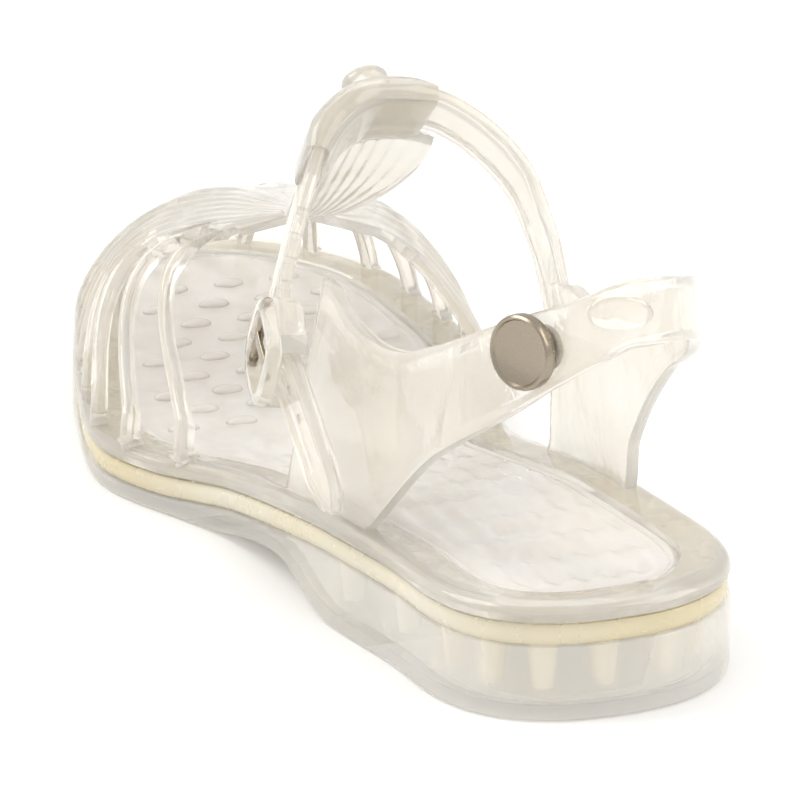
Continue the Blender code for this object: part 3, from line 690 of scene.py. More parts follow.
def make_rim():
    """The upper's flange, with a rounded outer bead."""
    height = lambda rise: lambda y: seam(y) + GAP / 2 + RIM_HEIGHT * rise
    rings = [ring(point.inset, height(point.rise)) for point in RIM_SECTION]
    mesh = bmesh.new()
    add_rings(mesh, rings, closed=True)
    return new_object("rim_work", mesh)


def smooth_step(value):
    value = min(max(value, 0.0), 1.0)
    return value * value * (3 - 2 * value)


def footbed_relief(x, y, edge):
    """Height of the footbed's moulded pattern over its flat top."""
    fade = smooth_step((edge - RELIEF_MARGIN) / RELIEF_FADE)
    u = 2 * math.pi * (x + RELIEF_SLANT * y) / RELIEF_PITCH
    v = 2 * math.pi * (x - RELIEF_SLANT * y) / RELIEF_PITCH
    heel = smooth_step((RELIEF_HEEL_END - y) / RELIEF_HEEL_FADE)
    pattern = math.sin(u) * math.sin(v) * (RELIEF_FORE_SHARE + (1 - RELIEF_FORE_SHARE) * heel)
    groove = math.exp(-((edge - GROOVE_INSET) / GROOVE_WIDTH) ** 2)
    return RELIEF_DEPTH * (fade * pattern - groove)


def make_insole():
    """The clear footbed plate, with its relief and the groove round it."""
    loop = outline(RIM_WIDTH + GAP)
    count = len(loop)
    base = lambda y: seam(y) + GAP / 2
    mesh = bmesh.new()
    sheets = []
    for upper_face in (False, True):
        rows = []
        for i in range(1, STATIONS):
            left, right = loop[i], loop[count - i]
            width = (right - left).length
            row = []
            for column in range(PLATE_ACROSS + 1):
                share = (1 - math.cos(math.pi * column / PLATE_ACROSS)) / 2
                spot = left.lerp(right, share)
                ends = min(spot.y - loop[0].y, loop[STATIONS].y - spot.y)
                edge = min(share * width, (1 - share) * width, max(ends, 0.0))
                z = base(spot.y)
                if upper_face:
                    rounding = PLATE_EDGE_DROP * (1 - smooth_step(edge / PLATE_EDGE))
                    z += PLATE_THICK - rounding + footbed_relief(spot.x, spot.y, edge)
                row.append(mesh.verts.new((spot.x, spot.y, z)))
            rows.append(row)
        for near, far in zip(rows, rows[1:]):
            for column in range(PLATE_ACROSS):
                mesh.faces.new((near[column], near[column + 1], far[column + 1], far[column]))
        sheets.append(rows)
    low, high = sheets
    around = lambda rows: (rows[0][:] + [row[-1] for row in rows[1:]] + rows[-1][-2::-1]
                           + [row[0] for row in rows[-2:0:-1]])
    below, above = around(low), around(high)
    for i in range(len(below)):
        j = (i + 1) % len(below)
        mesh.faces.new((below[i], below[j], above[j], above[i]))
    return new_object("insole_work", mesh)


def make_quarters():
    """Both quarters and the heel band, thicker along their edges."""
    keys = list(range(len(QUARTER_EDGES)))
    mesh = bmesh.new()
    grid = []
    for step in range(QUARTER_STEPS * (len(keys) - 1) + 1):
        at = step / QUARTER_STEPS
        read = [hermite(keys, [getattr(row, name) for row in QUARTER_EDGES], at) for name in Edge._fields]
        low_turn, low_height, high_turn, high_height = read
        column = []
        for row in range(QUARTER_FINE_ROWS + 1):
            share = row / QUARTER_FINE_ROWS
            turn = low_turn + (high_turn - low_turn) * share
            height = low_height + (high_height - low_height) * share
            column.append(mesh.verts.new(wall_point(turn, height * MM)))
        grid.append(column)
    for near, far in zip(grid, grid[1:]):
        for row in range(QUARTER_FINE_ROWS):
            mesh.faces.new((near[row], far[row], far[row + 1], near[row + 1]))
    mesh.verts.index_update()
    edge_rows = (0, 1, QUARTER_FINE_ROWS - 1, QUARTER_FINE_ROWS)
    border = [column[row].index for column in grid for row in edge_rows]
    sheet = new_object("quarters", mesh, Vector((0, 60, 40)) * MM)
    group = sheet.vertex_groups.new(name="Wall thickness")
    group.add(range(len(sheet.data.vertices)), QUARTER_THIN, "REPLACE")
    group.add(border, 1.0, "REPLACE")
    solidify(sheet, WALL, -1, group.name)
    soften(sheet, SHEET_BEVEL)
    return sheet


def make_vamp():
    """The shell over the toes: rounded ribs with open slots that close to a point."""
    line, lengths = landing_line()
    pitch = 1 / (RIB_COUNT - 1 + 2 * RIB_MARGIN)
    columns = len(RIB_COLUMNS)
    mesh = bmesh.new()
    rows = []
    weights = []
    full = VAMP_WALL + RIB_CROWN
    for row in range(FINE_ROWS + 1):
        along_rib = row / FINE_ROWS
        row_share = FAN_FIRST + (1 - FAN_FIRST) * along_rib
        room = lengths[-1] * pitch * math.sin(math.pi / 2 * row_share)
        half = min(RIB_HALF_WIDTH / room, 0.5 - WEB_LEAST)
        near_end = min((along_rib - GAP_FROM) / GAP_ROUND, (GAP_TO - along_rib) / GAP_ROUND_RIM)
        closing = 1 - min(max(near_end, 0.0), 1.0)
        if GAP_FROM < along_rib < GAP_TO:
            half = 0.5 - (0.5 - half) * math.sqrt(max(0.0, 1 - closing ** 2))
            half = min(half, 0.5 - WEB_LEAST / 2)
        made = []
        for rib in range(RIB_COUNT):
            middle = (rib + RIB_MARGIN) * pitch
            for offset in RIB_COLUMNS:
                outermost = (rib == 0 and offset < 0) or (rib == RIB_COUNT - 1 and offset > 0)
                reach = min(half, RIB_MARGIN) if outermost else half
                share = middle + offset * reach * pitch
                made.append(mesh.verts.new(fan_point(line, lengths, share, row_share)))
                rise = RIB_CROWN * max(0.0, math.cos(math.pi / 2 * offset)) ** CROWN_ROUND
                rise *= smooth_step(CROWN_START + along_rib / CROWN_RUN)
                weights.append((VAMP_WALL + rise) / full)
        rows.append(made)
    hub = mesh.verts.new(THROAT)
    weights.append(VAMP_WALL / full)
    for near, far in zip(rows[0], rows[0][1:]):
        mesh.faces.new((hub, near, far))
    for row in range(FINE_ROWS):
        slot_row = GAP_FROM <= row / FINE_ROWS and (row + 1) / FINE_ROWS <= GAP_TO
        for column in range(len(rows[0]) - 1):
            if not (slot_row and column % columns == columns - 1):
                mesh.faces.new((rows[row][column], rows[row + 1][column],
                                rows[row + 1][column + 1], rows[row][column + 1]))
    sheet = new_object("vamp", mesh, Vector((0, 170, 15)) * MM)
    group = sheet.vertex_groups.new(name="Wall thickness")
    for index, weight in enumerate(weights):
        group.add((index,), weight, "REPLACE")
    step_inwards(sheet, VAMP_WALL)
    solidify(sheet, full, 1, group.name)
    return sheet


def strap_section(half, thick):
    """The strap's section, as across and out pairs, with a raised ridge along each edge."""
    crown = thick / 2
    dip = crown - STRAP_DIP
    outer = [(half * edge.across, crown * edge.out) for edge in STRAP_EDGE]
    outer += [(half * STRAP_DIP_FROM, dip), (half * STRAP_DIP_TO, dip)]
    outer += [(-u, v) for u, v in outer[::-1]]
    return outer + [(-u, -v) for u, v in outer]


def make_strap():
    """The ankle strap with its edge ridges and a rounded free tip."""
    loops = []
    for station in range(STRAP_FINE + 1):
        share = station / STRAP_FINE
        place, ahead, across, out = strap_frame(share)
        from_tip = max(0.0, 1 - (1 - share) * STRAP_STATIONS / STRAP_TIP_STATIONS)
        half = STRAP_WIDTH / 2 * math.sqrt(max(STRAP_TIP_LEAST, 1 - from_tip ** 2))
        rooted = max(0.0, 1 - share / STRAP_ROOT)
        thick = STRAP_THICK + (STRAP_ROOT_THICK - STRAP_THICK) * rooted
        loops.append([place + across * a + out * o for a, o in strap_section(half, thick)])
    mesh = bmesh.new()
    made = add_rings(mesh, loops)
    mesh.faces.new(made[0])
    mesh.faces.new(made[-1])
    return new_object("strap", mesh)


def make_strap_holes():
    """One cutter body for each adjustment hole, in one mesh."""
    mesh = bmesh.new()
    for number in range(HOLE_COUNT):
        place, ahead, across, out = strap_frame(HOLE_FIRST + HOLE_PITCH * number)
        turn = Matrix((ahead, across, out)).transposed().to_4x4()
        bmesh.ops.create_cone(mesh, cap_ends=True, segments=HOLE_SIDES, radius1=HOLE_RADIUS,
                              radius2=HOLE_RADIUS, depth=HOLE_DEPTH,
                              matrix=Matrix.Translation(place) @ turn)
    return new_object("strap_holes", mesh)


def round_section(half_across, half_out, corner, steps=4):
    """A flat tube's section with rounded corners, as across and out pairs."""
    points = []
    for a, o, start in ((1, 1, 0), (-1, 1, 1), (-1, -1, 2), (1, -1, 3)):
        for step in range(steps + 1):
            angle = math.pi / 2 * (start + step / steps)
            points.append((a * (half_across - corner) + corner * math.cos(angle),
                           o * (half_out - corner) + corner * math.sin(angle)))
    return points


def make_sleeve():
    """The flat tube at the top of the T-bar, with rounded lips."""
    inner_half = STRAP_WIDTH / 2 + SLEEVE_PLAY
    inner_out = STRAP_THICK / 2 + SLEEVE_PLAY
    steps = SLEEVE_STEPS
    outer, inner = [], []
    for step in range(steps + 1):
        share = (SLEEVE_FIRST + (SLEEVE_LAST - SLEEVE_FIRST) * step / steps) / STRAP_STATIONS
        place, ahead, across, out = strap_frame(share)
        from_lip = min(step, steps - step) / SLEEVE_LIP_STEPS
        wall = SLEEVE_WALL * (SLEEVE_LIP + (1 - SLEEVE_LIP) * math.sqrt(smooth_step(from_lip)))
        large = round_section(inner_half + wall, inner_out + wall, inner_out + wall * SLEEVE_ROUND)
        small = round_section(inner_half, inner_out, SLEEVE_INNER_CORNER)
        outer.append([place + across * a + out * o for a, o in large])
        inner.append([place + across * a + out * o for a, o in small])
    mesh = bmesh.new()
    add_rings(mesh, outer + inner[::-1], closed=True)
    return new_object("sleeve", mesh)


def make_leaf():
    """The T-bar's leaf, cupped over the instep, with lengthwise veins."""
    keys = [row.z for row in LEAF_SECTIONS]
    names = ("x", "y", "half_width", "cup", "skew")
    mesh = bmesh.new()
    grid = []
    weights = []
    for station in range(LEAF_FINE_LONG + 1):
        z = keys[0] + (keys[-1] - keys[0]) * station / LEAF_FINE_LONG
        x, y, half, cup, skew = (along(LEAF_SECTIONS, "z", name, z) for name in names)
        row = []
        for column in range(LEAF_FINE_ACROSS + 1):
            side = 2 * column / LEAF_FINE_ACROSS - 1
            drop = cup * side * side
            spot = Vector((x + side * half, y - drop + skew * side, z - drop / 2))
            row.append(mesh.verts.new(spot * MM))
            weights.append(1 - VEIN_DEPTH * math.sin(math.pi * (LEAF_VEINS - 1) * side) ** 2)
        grid.append(row)
    for near, far in zip(grid, grid[1:]):
        for column in range(LEAF_FINE_ACROSS):
            mesh.faces.new((near[column], near[column + 1], far[column + 1], far[column]))
    sheet = new_object("leaf", mesh, Vector((0, 110, 40)) * MM)
    group = sheet.vertex_groups.new(name="Wall thickness")
    for index, weight in enumerate(weights):
        group.add((index,), weight, "REPLACE")
    step_inwards(sheet, WALL)
    solidify(sheet, WALL, 1, group.name)
    soften(sheet, SHEET_BEVEL)
    return sheet


def make_dome(name, place, along_axis, across, out, size, sink):
    """A low moulded dome that stands on a face."""
    mesh = bmesh.new()
    turn = Matrix((along_axis, across, out)).transposed().to_4x4()
    shape = Matrix.LocRotScale(None, None, size)
    bmesh.ops.create_uvsphere(mesh, u_segments=28, v_segments=14, radius=1,
                              matrix=Matrix.Translation(place - out * sink) @ turn @ shape)
    return new_object(name, mesh)


def disc(name, centre, axis, profile, sides=64):
    """A turned piece: rings of radius and distance along its axis, closed at both ends."""
    turn = axis.to_track_quat("Z", "Y").to_matrix()
    rings = []
    for radius, along_axis in profile:
        rings.append([centre + turn @ Vector((radius * math.cos(2 * math.pi * i / sides),
                                              radius * math.sin(2 * math.pi * i / sides), along_axis))
                      for i in range(sides)])
    mesh = bmesh.new()
    made = add_rings(mesh, rings)
    mesh.faces.new(made[0])
    mesh.faces.new(made[-1])
    return new_object(name, mesh)


def make_upper():
    """The upper as one moulding, with the stud's hole and the strap's holes."""
    upper = make_rim()
    strap = make_strap()
    join(strap, make_strap_holes(), "DIFFERENCE")
    place, ahead, across, out = strap_frame(NUB_AT)
    knob = make_dome("knob", place + across * KNOB_ACROSS, ahead, across, out, KNOB_SIZE, -KNOB_LIFT)
    seat = wall_point(PAD_TURN, PAD_HEIGHT)
    normal = wall_normal(PAD_TURN, PAD_HEIGHT)
    side = Vector((0, 0, 1)).cross(normal).normalized()
    pad = make_dome("pad", seat, side, normal.cross(side), normal, PAD_SIZE, PAD_SINK)
    for piece in (make_quarters(), make_vamp(), make_leaf(), make_sleeve(), strap, knob, pad):
        join(upper, piece, folded=piece.name in FOLDED_PIECES)
    stud_place, stud_out = stud_seat()
    hole = SHANK_RADIUS + GAP
    bore = ((hole, BORE_REACH), (hole, -WALL - BORE_REACH))
    join(upper, disc("wall_bore", stud_place, stud_out, bore, BORE_SIDES), "DIFFERENCE")
    return upper


def make_stud_cap():
    """The bare metal cap, with a raised rim round a flat face, and its shank."""
    seat, out = stud_seat()
    face = GAP + STUD_STAND_OFF
    tip = -WALL - GAP - STUD_STAND_OFF - WASHER_THICK - SHANK_END
    profile = [(SHANK_RADIUS - CAP_BREAK, tip), (SHANK_RADIUS, tip + CAP_BREAK), (SHANK_RADIUS, face),
               (STUD_RADIUS - CAP_BREAK, face), (STUD_RADIUS, face + CAP_BREAK)]
    profile += [(STUD_RADIUS - point.inset, face + STUD_THICK * point.rise) for point in CAP_SECTION]
    profile.append((CAP_MIDDLE_RADIUS, face + STUD_THICK * CAP_MIDDLE_RISE))
    return disc("cap_work", seat, out, profile)


def buckle_seat():
    """The buckle's own frame: x across the strap, y along it and z out of its face."""
    place, ahead, across, out = strap_frame(BUCKLE_AT)
    return Matrix.Translation(place) @ Matrix((across, ahead, out)).transposed().to_4x4()


def oval_block(name, half_across, half_along, low, high, exponent, edge=0.0):
    """A block with a rounded plan and, where edge is given, rounded rims."""
    levels = ((0.0, low), (0.0, high))
    if edge:
        levels = ((edge, low), (edge * 0.3, low + edge * 0.3), (0.0, low + edge),
                  (0.0, high - edge), (edge * 0.3, high - edge * 0.3), (edge, high))
    rings = []
    for inset, height in levels:
        loop = []
        for i in range(BUCKLE_SIDES):
            angle = 2 * math.pi * i / BUCKLE_SIDES
            loop.append(Vector((power(math.cos(angle), exponent) * (half_across - inset),
                                power(math.sin(angle), exponent) * (half_along - inset), height)))
        rings.append(loop)
    mesh = bmesh.new()
    made = add_rings(mesh, rings)
    mesh.faces.new(made[0])
    mesh.faces.new(made[-1])
    bmesh.ops.transform(mesh, verts=mesh.verts, matrix=buckle_seat())
    return new_object(name, mesh)


def make_buckle_frame():
    """The clear frame round the strap: an oval ring in front, open at the back beside its post."""
    room = STRAP_WIDTH / 2 + BUCKLE_SIDE_PLAY
    over = STRAP_THICK / 2 + BUCKLE_FACE_PLAY
    long = BUCKLE_LONG / 2
    window = long - BUCKLE_BAR
    body = oval_block("frame_work", room + BUCKLE_BAR, long, over - BUCKLE_BACK - STRAP_THICK,
                      over + BUCKLE_BAR, BUCKLE_ROUND, BUCKLE_EDGE)
    mesh = bmesh.new()
    bmesh.ops.create_cube(mesh, size=2, matrix=Matrix.LocRotScale(
        None, None, Vector((room, long + BUCKLE_REACH, over))))
    bmesh.ops.transform(mesh, verts=mesh.verts, matrix=buckle_seat())
    join(body, new_object("frame_slot", mesh), "DIFFERENCE")
    front = oval_block("frame_window", room - GAP, window, 0.0, BUCKLE_REACH, WINDOW_ROUND)
    join(body, front, "DIFFERENCE")
    for side, name in ((1, "frame_back"), (-1, "frame_front")):
        mesh = bmesh.new()
        reach = long + BUCKLE_REACH - BUCKLE_POST
        middle = Vector((0, side * (BUCKLE_POST + reach / 2), -BUCKLE_REACH / 2))
        bmesh.ops.create_cube(mesh, size=1, matrix=Matrix.LocRotScale(
            middle, None, Vector((2 * (room - GAP), reach, BUCKLE_REACH))))
        bmesh.ops.transform(mesh, verts=mesh.verts, matrix=buckle_seat())
        join(body, new_object(name, mesh), "DIFFERENCE")
    soften(body, BUCKLE_BEVEL, 3)
    return body


def make_tongue():
    """The metal tongue, bent from flat bar round its pin."""
    window = BUCKLE_LONG / 2 - BUCKLE_BAR
    low = STRAP_THICK / 2 + BUCKLE_FACE_PLAY + GAP
    eye = PRONG_THICK / 2 - PRONG_LEAF
    centre_y, centre_z = GAP + PRONG_THICK / 2 - window, low + PRONG_THICK / 2
    path = []
    for step in range(EYE_STEPS + 1):
        angle = math.pi * (EYE_FROM + (EYE_TO - EYE_FROM) * step / EYE_STEPS)
        path.append((centre_y - eye * math.cos(angle), centre_z + eye * math.sin(angle)))
    path = path[::-1]
    tip = window - GAP
    start_y, start_z = centre_y, centre_z + eye
    path = [point for point in path if point[0] < centre_y]
    for step in range(TONGUE_STEPS + 1):
        share = step / TONGUE_STEPS
        drop = (eye * 2 - PRONG_LEAF) * share ** 2
        path.append((start_y + (tip - start_y) * share, start_z - drop))
    rings = []
    for i, (y, z) in enumerate(path):
        before, after = path[max(i - 1, 0)], path[min(i + 1, len(path) - 1)]
        way = Vector((0, after[0] - before[0], after[1] - before[1])).normalized()
        up = Vector((0, -way.z, way.y))
        narrow = min(1.0, TONGUE_TIP + TONGUE_TAPER * (len(path) - 1 - i))
        rings.append([Vector((a * narrow, y, z)) + up * o
                      for a, o in round_section(PRONG_HALF, PRONG_LEAF, PRONG_LEAF * TONGUE_ROUND)])
    mesh = bmesh.new()
    made = add_rings(mesh, rings)
    mesh.faces.new(made[0])
    mesh.faces.new(made[-1])
    bmesh.ops.transform(mesh, verts=mesh.verts, matrix=buckle_seat())
    tongue = new_object("tongue_work", mesh)
    mesh = bmesh.new()
    half = STRAP_WIDTH / 2 + BUCKLE_SIDE_PLAY + BUCKLE_BAR * PIN_REACH
    lay = Matrix.Translation((0, centre_y, centre_z)) @ Matrix.Rotation(math.pi / 2, 4, "Y")
    bmesh.ops.create_cone(mesh, cap_ends=True, segments=PIN_SIDES, radius1=PIN_RADIUS,
                          radius2=PIN_RADIUS, depth=half * 2, matrix=buckle_seat() @ lay)
    join(tongue, new_object("pin", mesh))
    return tongue


def points_object(name, places):
    """Bare points for Geometry Nodes to stand pieces on."""
    data = bpy.data.meshes.new(name)
    data.from_pydata([tuple(place) for place in places], [], [])
    made = bpy.data.objects.new(name, data)
    bpy.context.scene.collection.objects.link(made)
    temporary.append(made)
    return made


def nubs_tree(material):
    """Geometry Nodes: an oval dome on every point."""
    tree = bpy.data.node_groups.new("Massage nubs", "GeometryNodeTree")
    tree.interface.new_socket("Geometry", in_out="INPUT", socket_type="NodeSocketGeometry")
    size = tree.interface.new_socket("Half sizes", in_out="INPUT", socket_type="NodeSocketVector")
    tree.interface.new_socket("Geometry", in_out="OUTPUT", socket_type="NodeSocketGeometry")
    nodes, links = tree.nodes, tree.links
    start = nodes.new("NodeGroupInput")
    end = nodes.new("NodeGroupOutput")
    dome = nodes.new("GeometryNodeMeshUVSphere")
    dome.inputs["Segments"].default_value = 20
    dome.inputs["Rings"].default_value = 10
    stand = nodes.new("GeometryNodeInstanceOnPoints")
    real = nodes.new("GeometryNodeRealizeInstances")
    coat = nodes.new("GeometryNodeSetMaterial")
    coat.inputs["Material"].default_value = material
    links.new(start.outputs["Geometry"], stand.inputs["Points"])
    links.new(dome.outputs["Mesh"], stand.inputs["Instance"])
    links.new(start.outputs["Half sizes"], stand.inputs["Scale"])
    links.new(stand.outputs["Instances"], real.inputs["Geometry"])
    links.new(real.outputs["Geometry"], coat.inputs["Geometry"])
    links.new(coat.outputs["Geometry"], end.inputs["Geometry"])
    return tree, size.identifier


def pegs_tree(material):
    """Geometry Nodes: a tapered peg with a rounded tip hanging from every point."""
    tree = bpy.data.node_groups.new("Heel pegs", "GeometryNodeTree")
    tree.interface.new_socket("Geometry", in_out="INPUT", socket_type="NodeSocketGeometry")
    sizes = [tree.interface.new_socket(name, in_out="INPUT", socket_type="NodeSocketFloat")
             for name in ("Length", "Root radius", "Tip radius")]
    tree.interface.new_socket("Geometry", in_out="OUTPUT", socket_type="NodeSocketGeometry")
    nodes, links = tree.nodes, tree.links
    start = nodes.new("NodeGroupInput")
    end = nodes.new("NodeGroupOutput")
    cone = nodes.new("GeometryNodeMeshCone")
    cone.inputs["Vertices"].default_value = 28
    cone.inputs["Side Segments"].default_value = 6
    cone.inputs["Fill Segments"].default_value = 2
    stand = nodes.new("GeometryNodeInstanceOnPoints")
    real = nodes.new("GeometryNodeRealizeInstances")
    coat = nodes.new("GeometryNodeSetMaterial")
    coat.inputs["Material"].default_value = material
    links.new(start.outputs["Length"], cone.inputs["Depth"])
    links.new(start.outputs["Root radius"], cone.inputs["Radius Top"])
    links.new(start.outputs["Tip radius"], cone.inputs["Radius Bottom"])
    links.new(start.outputs["Geometry"], stand.inputs["Points"])
    links.new(cone.outputs["Mesh"], stand.inputs["Instance"])
    links.new(stand.outputs["Instances"], real.inputs["Geometry"])
    links.new(real.outputs["Geometry"], coat.inputs["Geometry"])
    links.new(coat.outputs["Geometry"], end.inputs["Geometry"])
    return tree, [size.identifier for size in sizes]


def make_nubs(material):
    """The massage nubs in rows under the ball of the foot and the toes."""
    places = []
    for row in range(NUB_ROWS):
        y = NUB_ROW_FIRST + NUB_ROW_PITCH * row
        middle = (half_width(y, "medial") - half_width(y, "lateral")) / 2
        reach = (half_width(y, "medial") + half_width(y, "lateral")) / 2 - RIM_WIDTH - NUB_MARGIN
        for column in range(-3, 4):
            x = (column + 0.5 * (row % 2)) * NUB_COLUMN_PITCH
            if abs(x) < reach:
                top = seam(y) + GAP / 2 + PLATE_THICK
                places.append((middle + x, y, top))
    piece = points_object("nub_points", places)
    tree, size = nubs_tree(material)
    step = piece.modifiers.new("Massage nubs", "NODES")
    step.node_group = tree
    step[size] = tuple(NUB_SIZE)
    return piece


def make_pegs(material):
    """The pegs under the joint band round the hollow heel."""
    line = [p for p in outline(PEG_INSET) if p.y < PEG_REACH]
    line.sort(key=lambda p: math.atan2(p.x, PEG_REACH - p.y))
    places = []
    for number in range(PEG_COUNT):
        spot = line[round((len(line) - 1) * number / (PEG_COUNT - 1))]
        low = seam(spot.y) - GAP / 2 - BAND_HEIGHT
        places.append((spot.x, spot.y, low - PEG_LENGTH))
    piece = points_object("peg_points", places)
    tree, sizes = pegs_tree(material)
    step = piece.modifiers.new("Heel pegs", "NODES")
    step.node_group = tree
    for identifier, value in zip(sizes, (PEG_LENGTH + PEG_SINK, PEG_RADIUS, PEG_TIP)):
        step[identifier] = value
    return piece


def wavy_group():
    """Shared relief of soft moulded plastic: slow waves with fine flow marks."""
    group = bpy.data.node_groups.new("Moulded waves", "ShaderNodeTree")
    group.interface.new_socket("Wave size", in_out="INPUT", socket_type="NodeSocketFloat")
    group.interface.new_socket("Height", in_out="OUTPUT", socket_type="NodeSocketFloat")
    group.interface.new_socket("Handling marks", in_out="OUTPUT", socket_type="NodeSocketFloat")
    nodes, links = group.nodes, group.links
    start = nodes.new("NodeGroupInput")
    end = nodes.new("NodeGroupOutput")
    place = nodes.new("ShaderNodeTexCoord")
    slow = nodes.new("ShaderNodeTexNoise")
    slow.inputs["Detail"].default_value = 1.0
    fine = nodes.new("ShaderNodeTexNoise")
    fine.inputs["Scale"].default_value = 420.0
    fine.inputs["Detail"].default_value = 2.0
    mix = nodes.new("ShaderNodeMath")
    mix.operation = "MULTIPLY_ADD"
    mix.inputs[1].default_value = 0.12
    links.new(place.outputs["Object"], slow.inputs["Vector"])
    links.new(place.outputs["Object"], fine.inputs["Vector"])
    links.new(start.outputs["Wave size"], slow.inputs["Scale"])
    links.new(fine.outputs["Fac"], mix.inputs[0])
    links.new(slow.outputs["Fac"], mix.inputs[2])
    links.new(mix.outputs["Value"], end.inputs["Height"])
    touch = nodes.new("ShaderNodeTexNoise")
    touch.inputs["Scale"].default_value = 130.0
    touch.inputs["Detail"].default_value = 3.0
    links.new(place.outputs["Object"], touch.inputs["Vector"])
    links.new(touch.outputs["Fac"], end.inputs["Handling marks"])
    return group


def clear_plastic(finish, waves):
    """Soft clear PVC: gloss, slow waves in its surface, and a warmer colour in patches."""
    made = bpy.data.materials.new(finish.name)
    made.use_nodes = True
    nodes, links = made.node_tree.nodes, made.node_tree.links
    shader = nodes["Principled BSDF"]
    shader.inputs["Metallic"].default_value = 0.0
    shader.inputs["Transmission Weight"].default_value = finish.transmission
    shader.inputs["IOR"].default_value = 1.5
    shader.inputs["Alpha"].default_value = finish.alpha
    wave = nodes.new("ShaderNodeGroup")
    wave.node_tree = waves
    wave.inputs["Wave size"].default_value = finish.wave_size
    bump = nodes.new("ShaderNodeBump")
    bump.inputs["Strength"].default_value = 1.0
    bump.inputs["Distance"].default_value = finish.wave_height
    links.new(wave.outputs["Height"], bump.inputs["Height"])
    links.new(bump.outputs["Normal"], shader.inputs["Normal"])
    marks = nodes.new("ShaderNodeMapRange")
    marks.inputs["From Min"].default_value = 0.35
    marks.inputs["From Max"].default_value = 0.7
    marks.inputs["To Min"].default_value = finish.roughness * POLISHED
    marks.inputs["To Max"].default_value = finish.roughness * HANDLED
    links.new(wave.outputs["Handling marks"], marks.inputs["Value"])
    links.new(marks.outputs["Result"], shader.inputs["Roughness"])
    tint = nodes.new("ShaderNodeMix")
    tint.data_type = "RGBA"
    tint.inputs["A"].default_value = (*finish.thin_color, 1)
    tint.inputs["B"].default_value = (*finish.thick_color, 1)
    patch = nodes.new("ShaderNodeMapRange")
    patch.inputs["From Min"].default_value = 0.35
    patch.inputs["From Max"].default_value = 0.75
    links.new(wave.outputs["Height"], patch.inputs["Value"])
    links.new(patch.outputs["Result"], tint.inputs["Factor"])
    links.new(tint.outputs["Result"], shader.inputs["Base Color"])
    return made


def nickel(name, color, roughness):
    """Polished nickel with faint brushing and rub marks."""
    made = bpy.data.materials.new(name)
    made.use_nodes = True
    nodes, links = made.node_tree.nodes, made.node_tree.links
    shader = nodes["Principled BSDF"]
    shader.inputs["Base Color"].default_value = (*color, 1)
    shader.inputs["Metallic"].default_value = 1.0
    place = nodes.new("ShaderNodeTexCoord")
    marks = nodes.new("ShaderNodeTexNoise")
    marks.inputs["Scale"].default_value = 900.0
    marks.inputs["Detail"].default_value = 4.0
    spread = nodes.new("ShaderNodeMapRange")
    spread.inputs["To Min"].default_value = roughness * 0.7
    spread.inputs["To Max"].default_value = roughness * 1.5
    bump = nodes.new("ShaderNodeBump")
    bump.inputs["Strength"].default_value = 0.25
    bump.inputs["Distance"].default_value = METAL_MARKS
    links.new(place.outputs["Object"], marks.inputs["Vector"])
    links.new(marks.outputs["Fac"], spread.inputs["Value"])
    links.new(spread.outputs["Result"], shader.inputs["Roughness"])
    links.new(marks.outputs["Fac"], bump.inputs["Height"])
    links.new(bump.outputs["Normal"], shader.inputs["Normal"])
    return made


def make_floor():
    """A wide pale floor."""
    mesh = bmesh.new()
    bmesh.ops.create_grid(mesh, x_segments=1, y_segments=1, size=40)
    data = bpy.data.meshes.new("floor")
    mesh.to_mesh(data)
    mesh.free()
    floor = bpy.data.objects.new("floor", data)
    bpy.context.scene.collection.objects.link(floor)
    coat = bpy.data.materials.new("pale floor")
    coat.use_nodes = True
    shader = coat.node_tree.nodes["Principled BSDF"]
    shader.inputs["Base Color"].default_value = (*FLOOR_COLOUR, 1)
    shader.inputs["Roughness"].default_value = 0.6
    data.materials.append(coat)
    return floor


def area_light(name, place, target, size, power_watts, color=(1, 1, 1)):
    data = bpy.data.lights.new(name, "AREA")
    data.shape = "RECTANGLE"
    data.size, data.size_y = size
    data.energy = power_watts
    data.color = color
    made = bpy.data.objects.new(name, data)
    made.location = place
    made.rotation_mode = "QUATERNION"
    made.rotation_quaternion = (Vector(target) - Vector(place)).to_track_quat("-Z", "Y")
    bpy.context.scene.collection.objects.link(made)
    return made


def make_light():
    world = bpy.data.worlds.new("studio")
    bpy.context.scene.world = world
    world.use_nodes = True
    back = world.node_tree.nodes["Background"]
    back.inputs["Color"].default_value = (1.0, 1.0, 1.0, 1)
    back.inputs["Strength"].default_value = WORLD_LEVEL
    area_light("key", (-0.9, 0.5, 1.3), (0, 0, 0.03), (0.9, 0.9), KEY_WATTS, LAMP_COLOUR)
    area_light("fill", (1.0, -0.6, 1.0), (0, 0, 0.03), (1.0, 1.0), FILL_WATTS, LAMP_COLOUR)


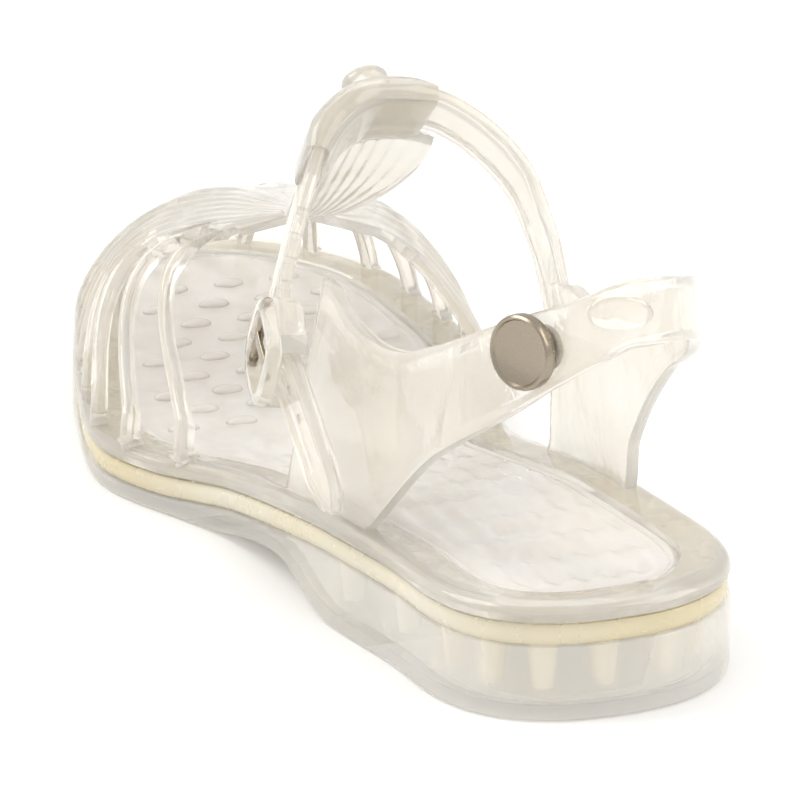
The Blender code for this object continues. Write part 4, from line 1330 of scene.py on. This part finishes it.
def make_camera():
    """The photograph's viewpoint, aimed at the one shoe."""
    up = CAMERA_RIGHT.cross(CAMERA_FORWARD)
    aim = CAMERA_FORWARD * PHOTO_FOCAL + CAMERA_RIGHT * (AIM_ACROSS - PHOTO_SIDE / 2)
    aim += up * (PHOTO_SIDE / 2 - AIM_DOWN)
    data = bpy.data.cameras.new("camera")
    data.sensor_width = SENSOR
    data.lens = PHOTO_FOCAL / PHOTO_SIDE * SENSOR * ZOOM
    data.clip_start, data.clip_end = 0.05, 100
    camera = bpy.data.objects.new("camera", data)
    camera.location = CAMERA_PLACE - Vector((ORIGIN_X, ORIGIN_Y, 0))
    camera.rotation_mode = "QUATERNION"
    camera.rotation_quaternion = aim.to_track_quat("-Z", "Y")
    bpy.context.scene.collection.objects.link(camera)
    bpy.context.scene.camera = camera


def main():
    make_camera()
    make_floor()
    make_light()
    waves = wavy_group()
    clear = clear_plastic(CLEAR_FINISH, waves)
    sole = clear_plastic(SOLE_FINISH, waves)
    peg = clear_plastic(PEG_FINISH, waves)
    footbed = clear_plastic(FOOTBED_FINISH, waves)
    ochre = clear_plastic(OCHRE_FINISH, waves)
    metal = nickel("nickel", METAL_COLOUR, METAL_ROUGHNESS)
    finish_piece(make_outsole(), "outsole_shell", sole, ("outsole",))
    finish_piece(make_band(), "joint_ring", ochre, ("joint_band",))
    finish_piece(make_pegs(peg), "heel_pegs", peg, ("joint_band",), 50)
    finish_piece(make_insole(), "footbed", footbed, ("insole",), 60)
    finish_piece(make_nubs(footbed), "massage_nubs", footbed, ("insole",), 80)
    finish_piece(make_upper(), "upper_moulding", clear, ("upper",))
    finish_piece(make_stud_cap(), "stud_face", metal, ("stud_cap",), 30)
    finish_piece(make_buckle_frame(), "buckle_loop", clear, ("buckle_frame",), 40)
    finish_piece(make_tongue(), "buckle_tongue", metal, ("buckle_prong",), 40)
    clear_temporary()
    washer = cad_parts["stud_washer"]
    washer.data.materials.clear()
    washer.data.materials.append(metal)
    soften(washer, WASHER_BEVEL)
    bpy.context.scene.view_settings.view_transform = "Standard"


main()
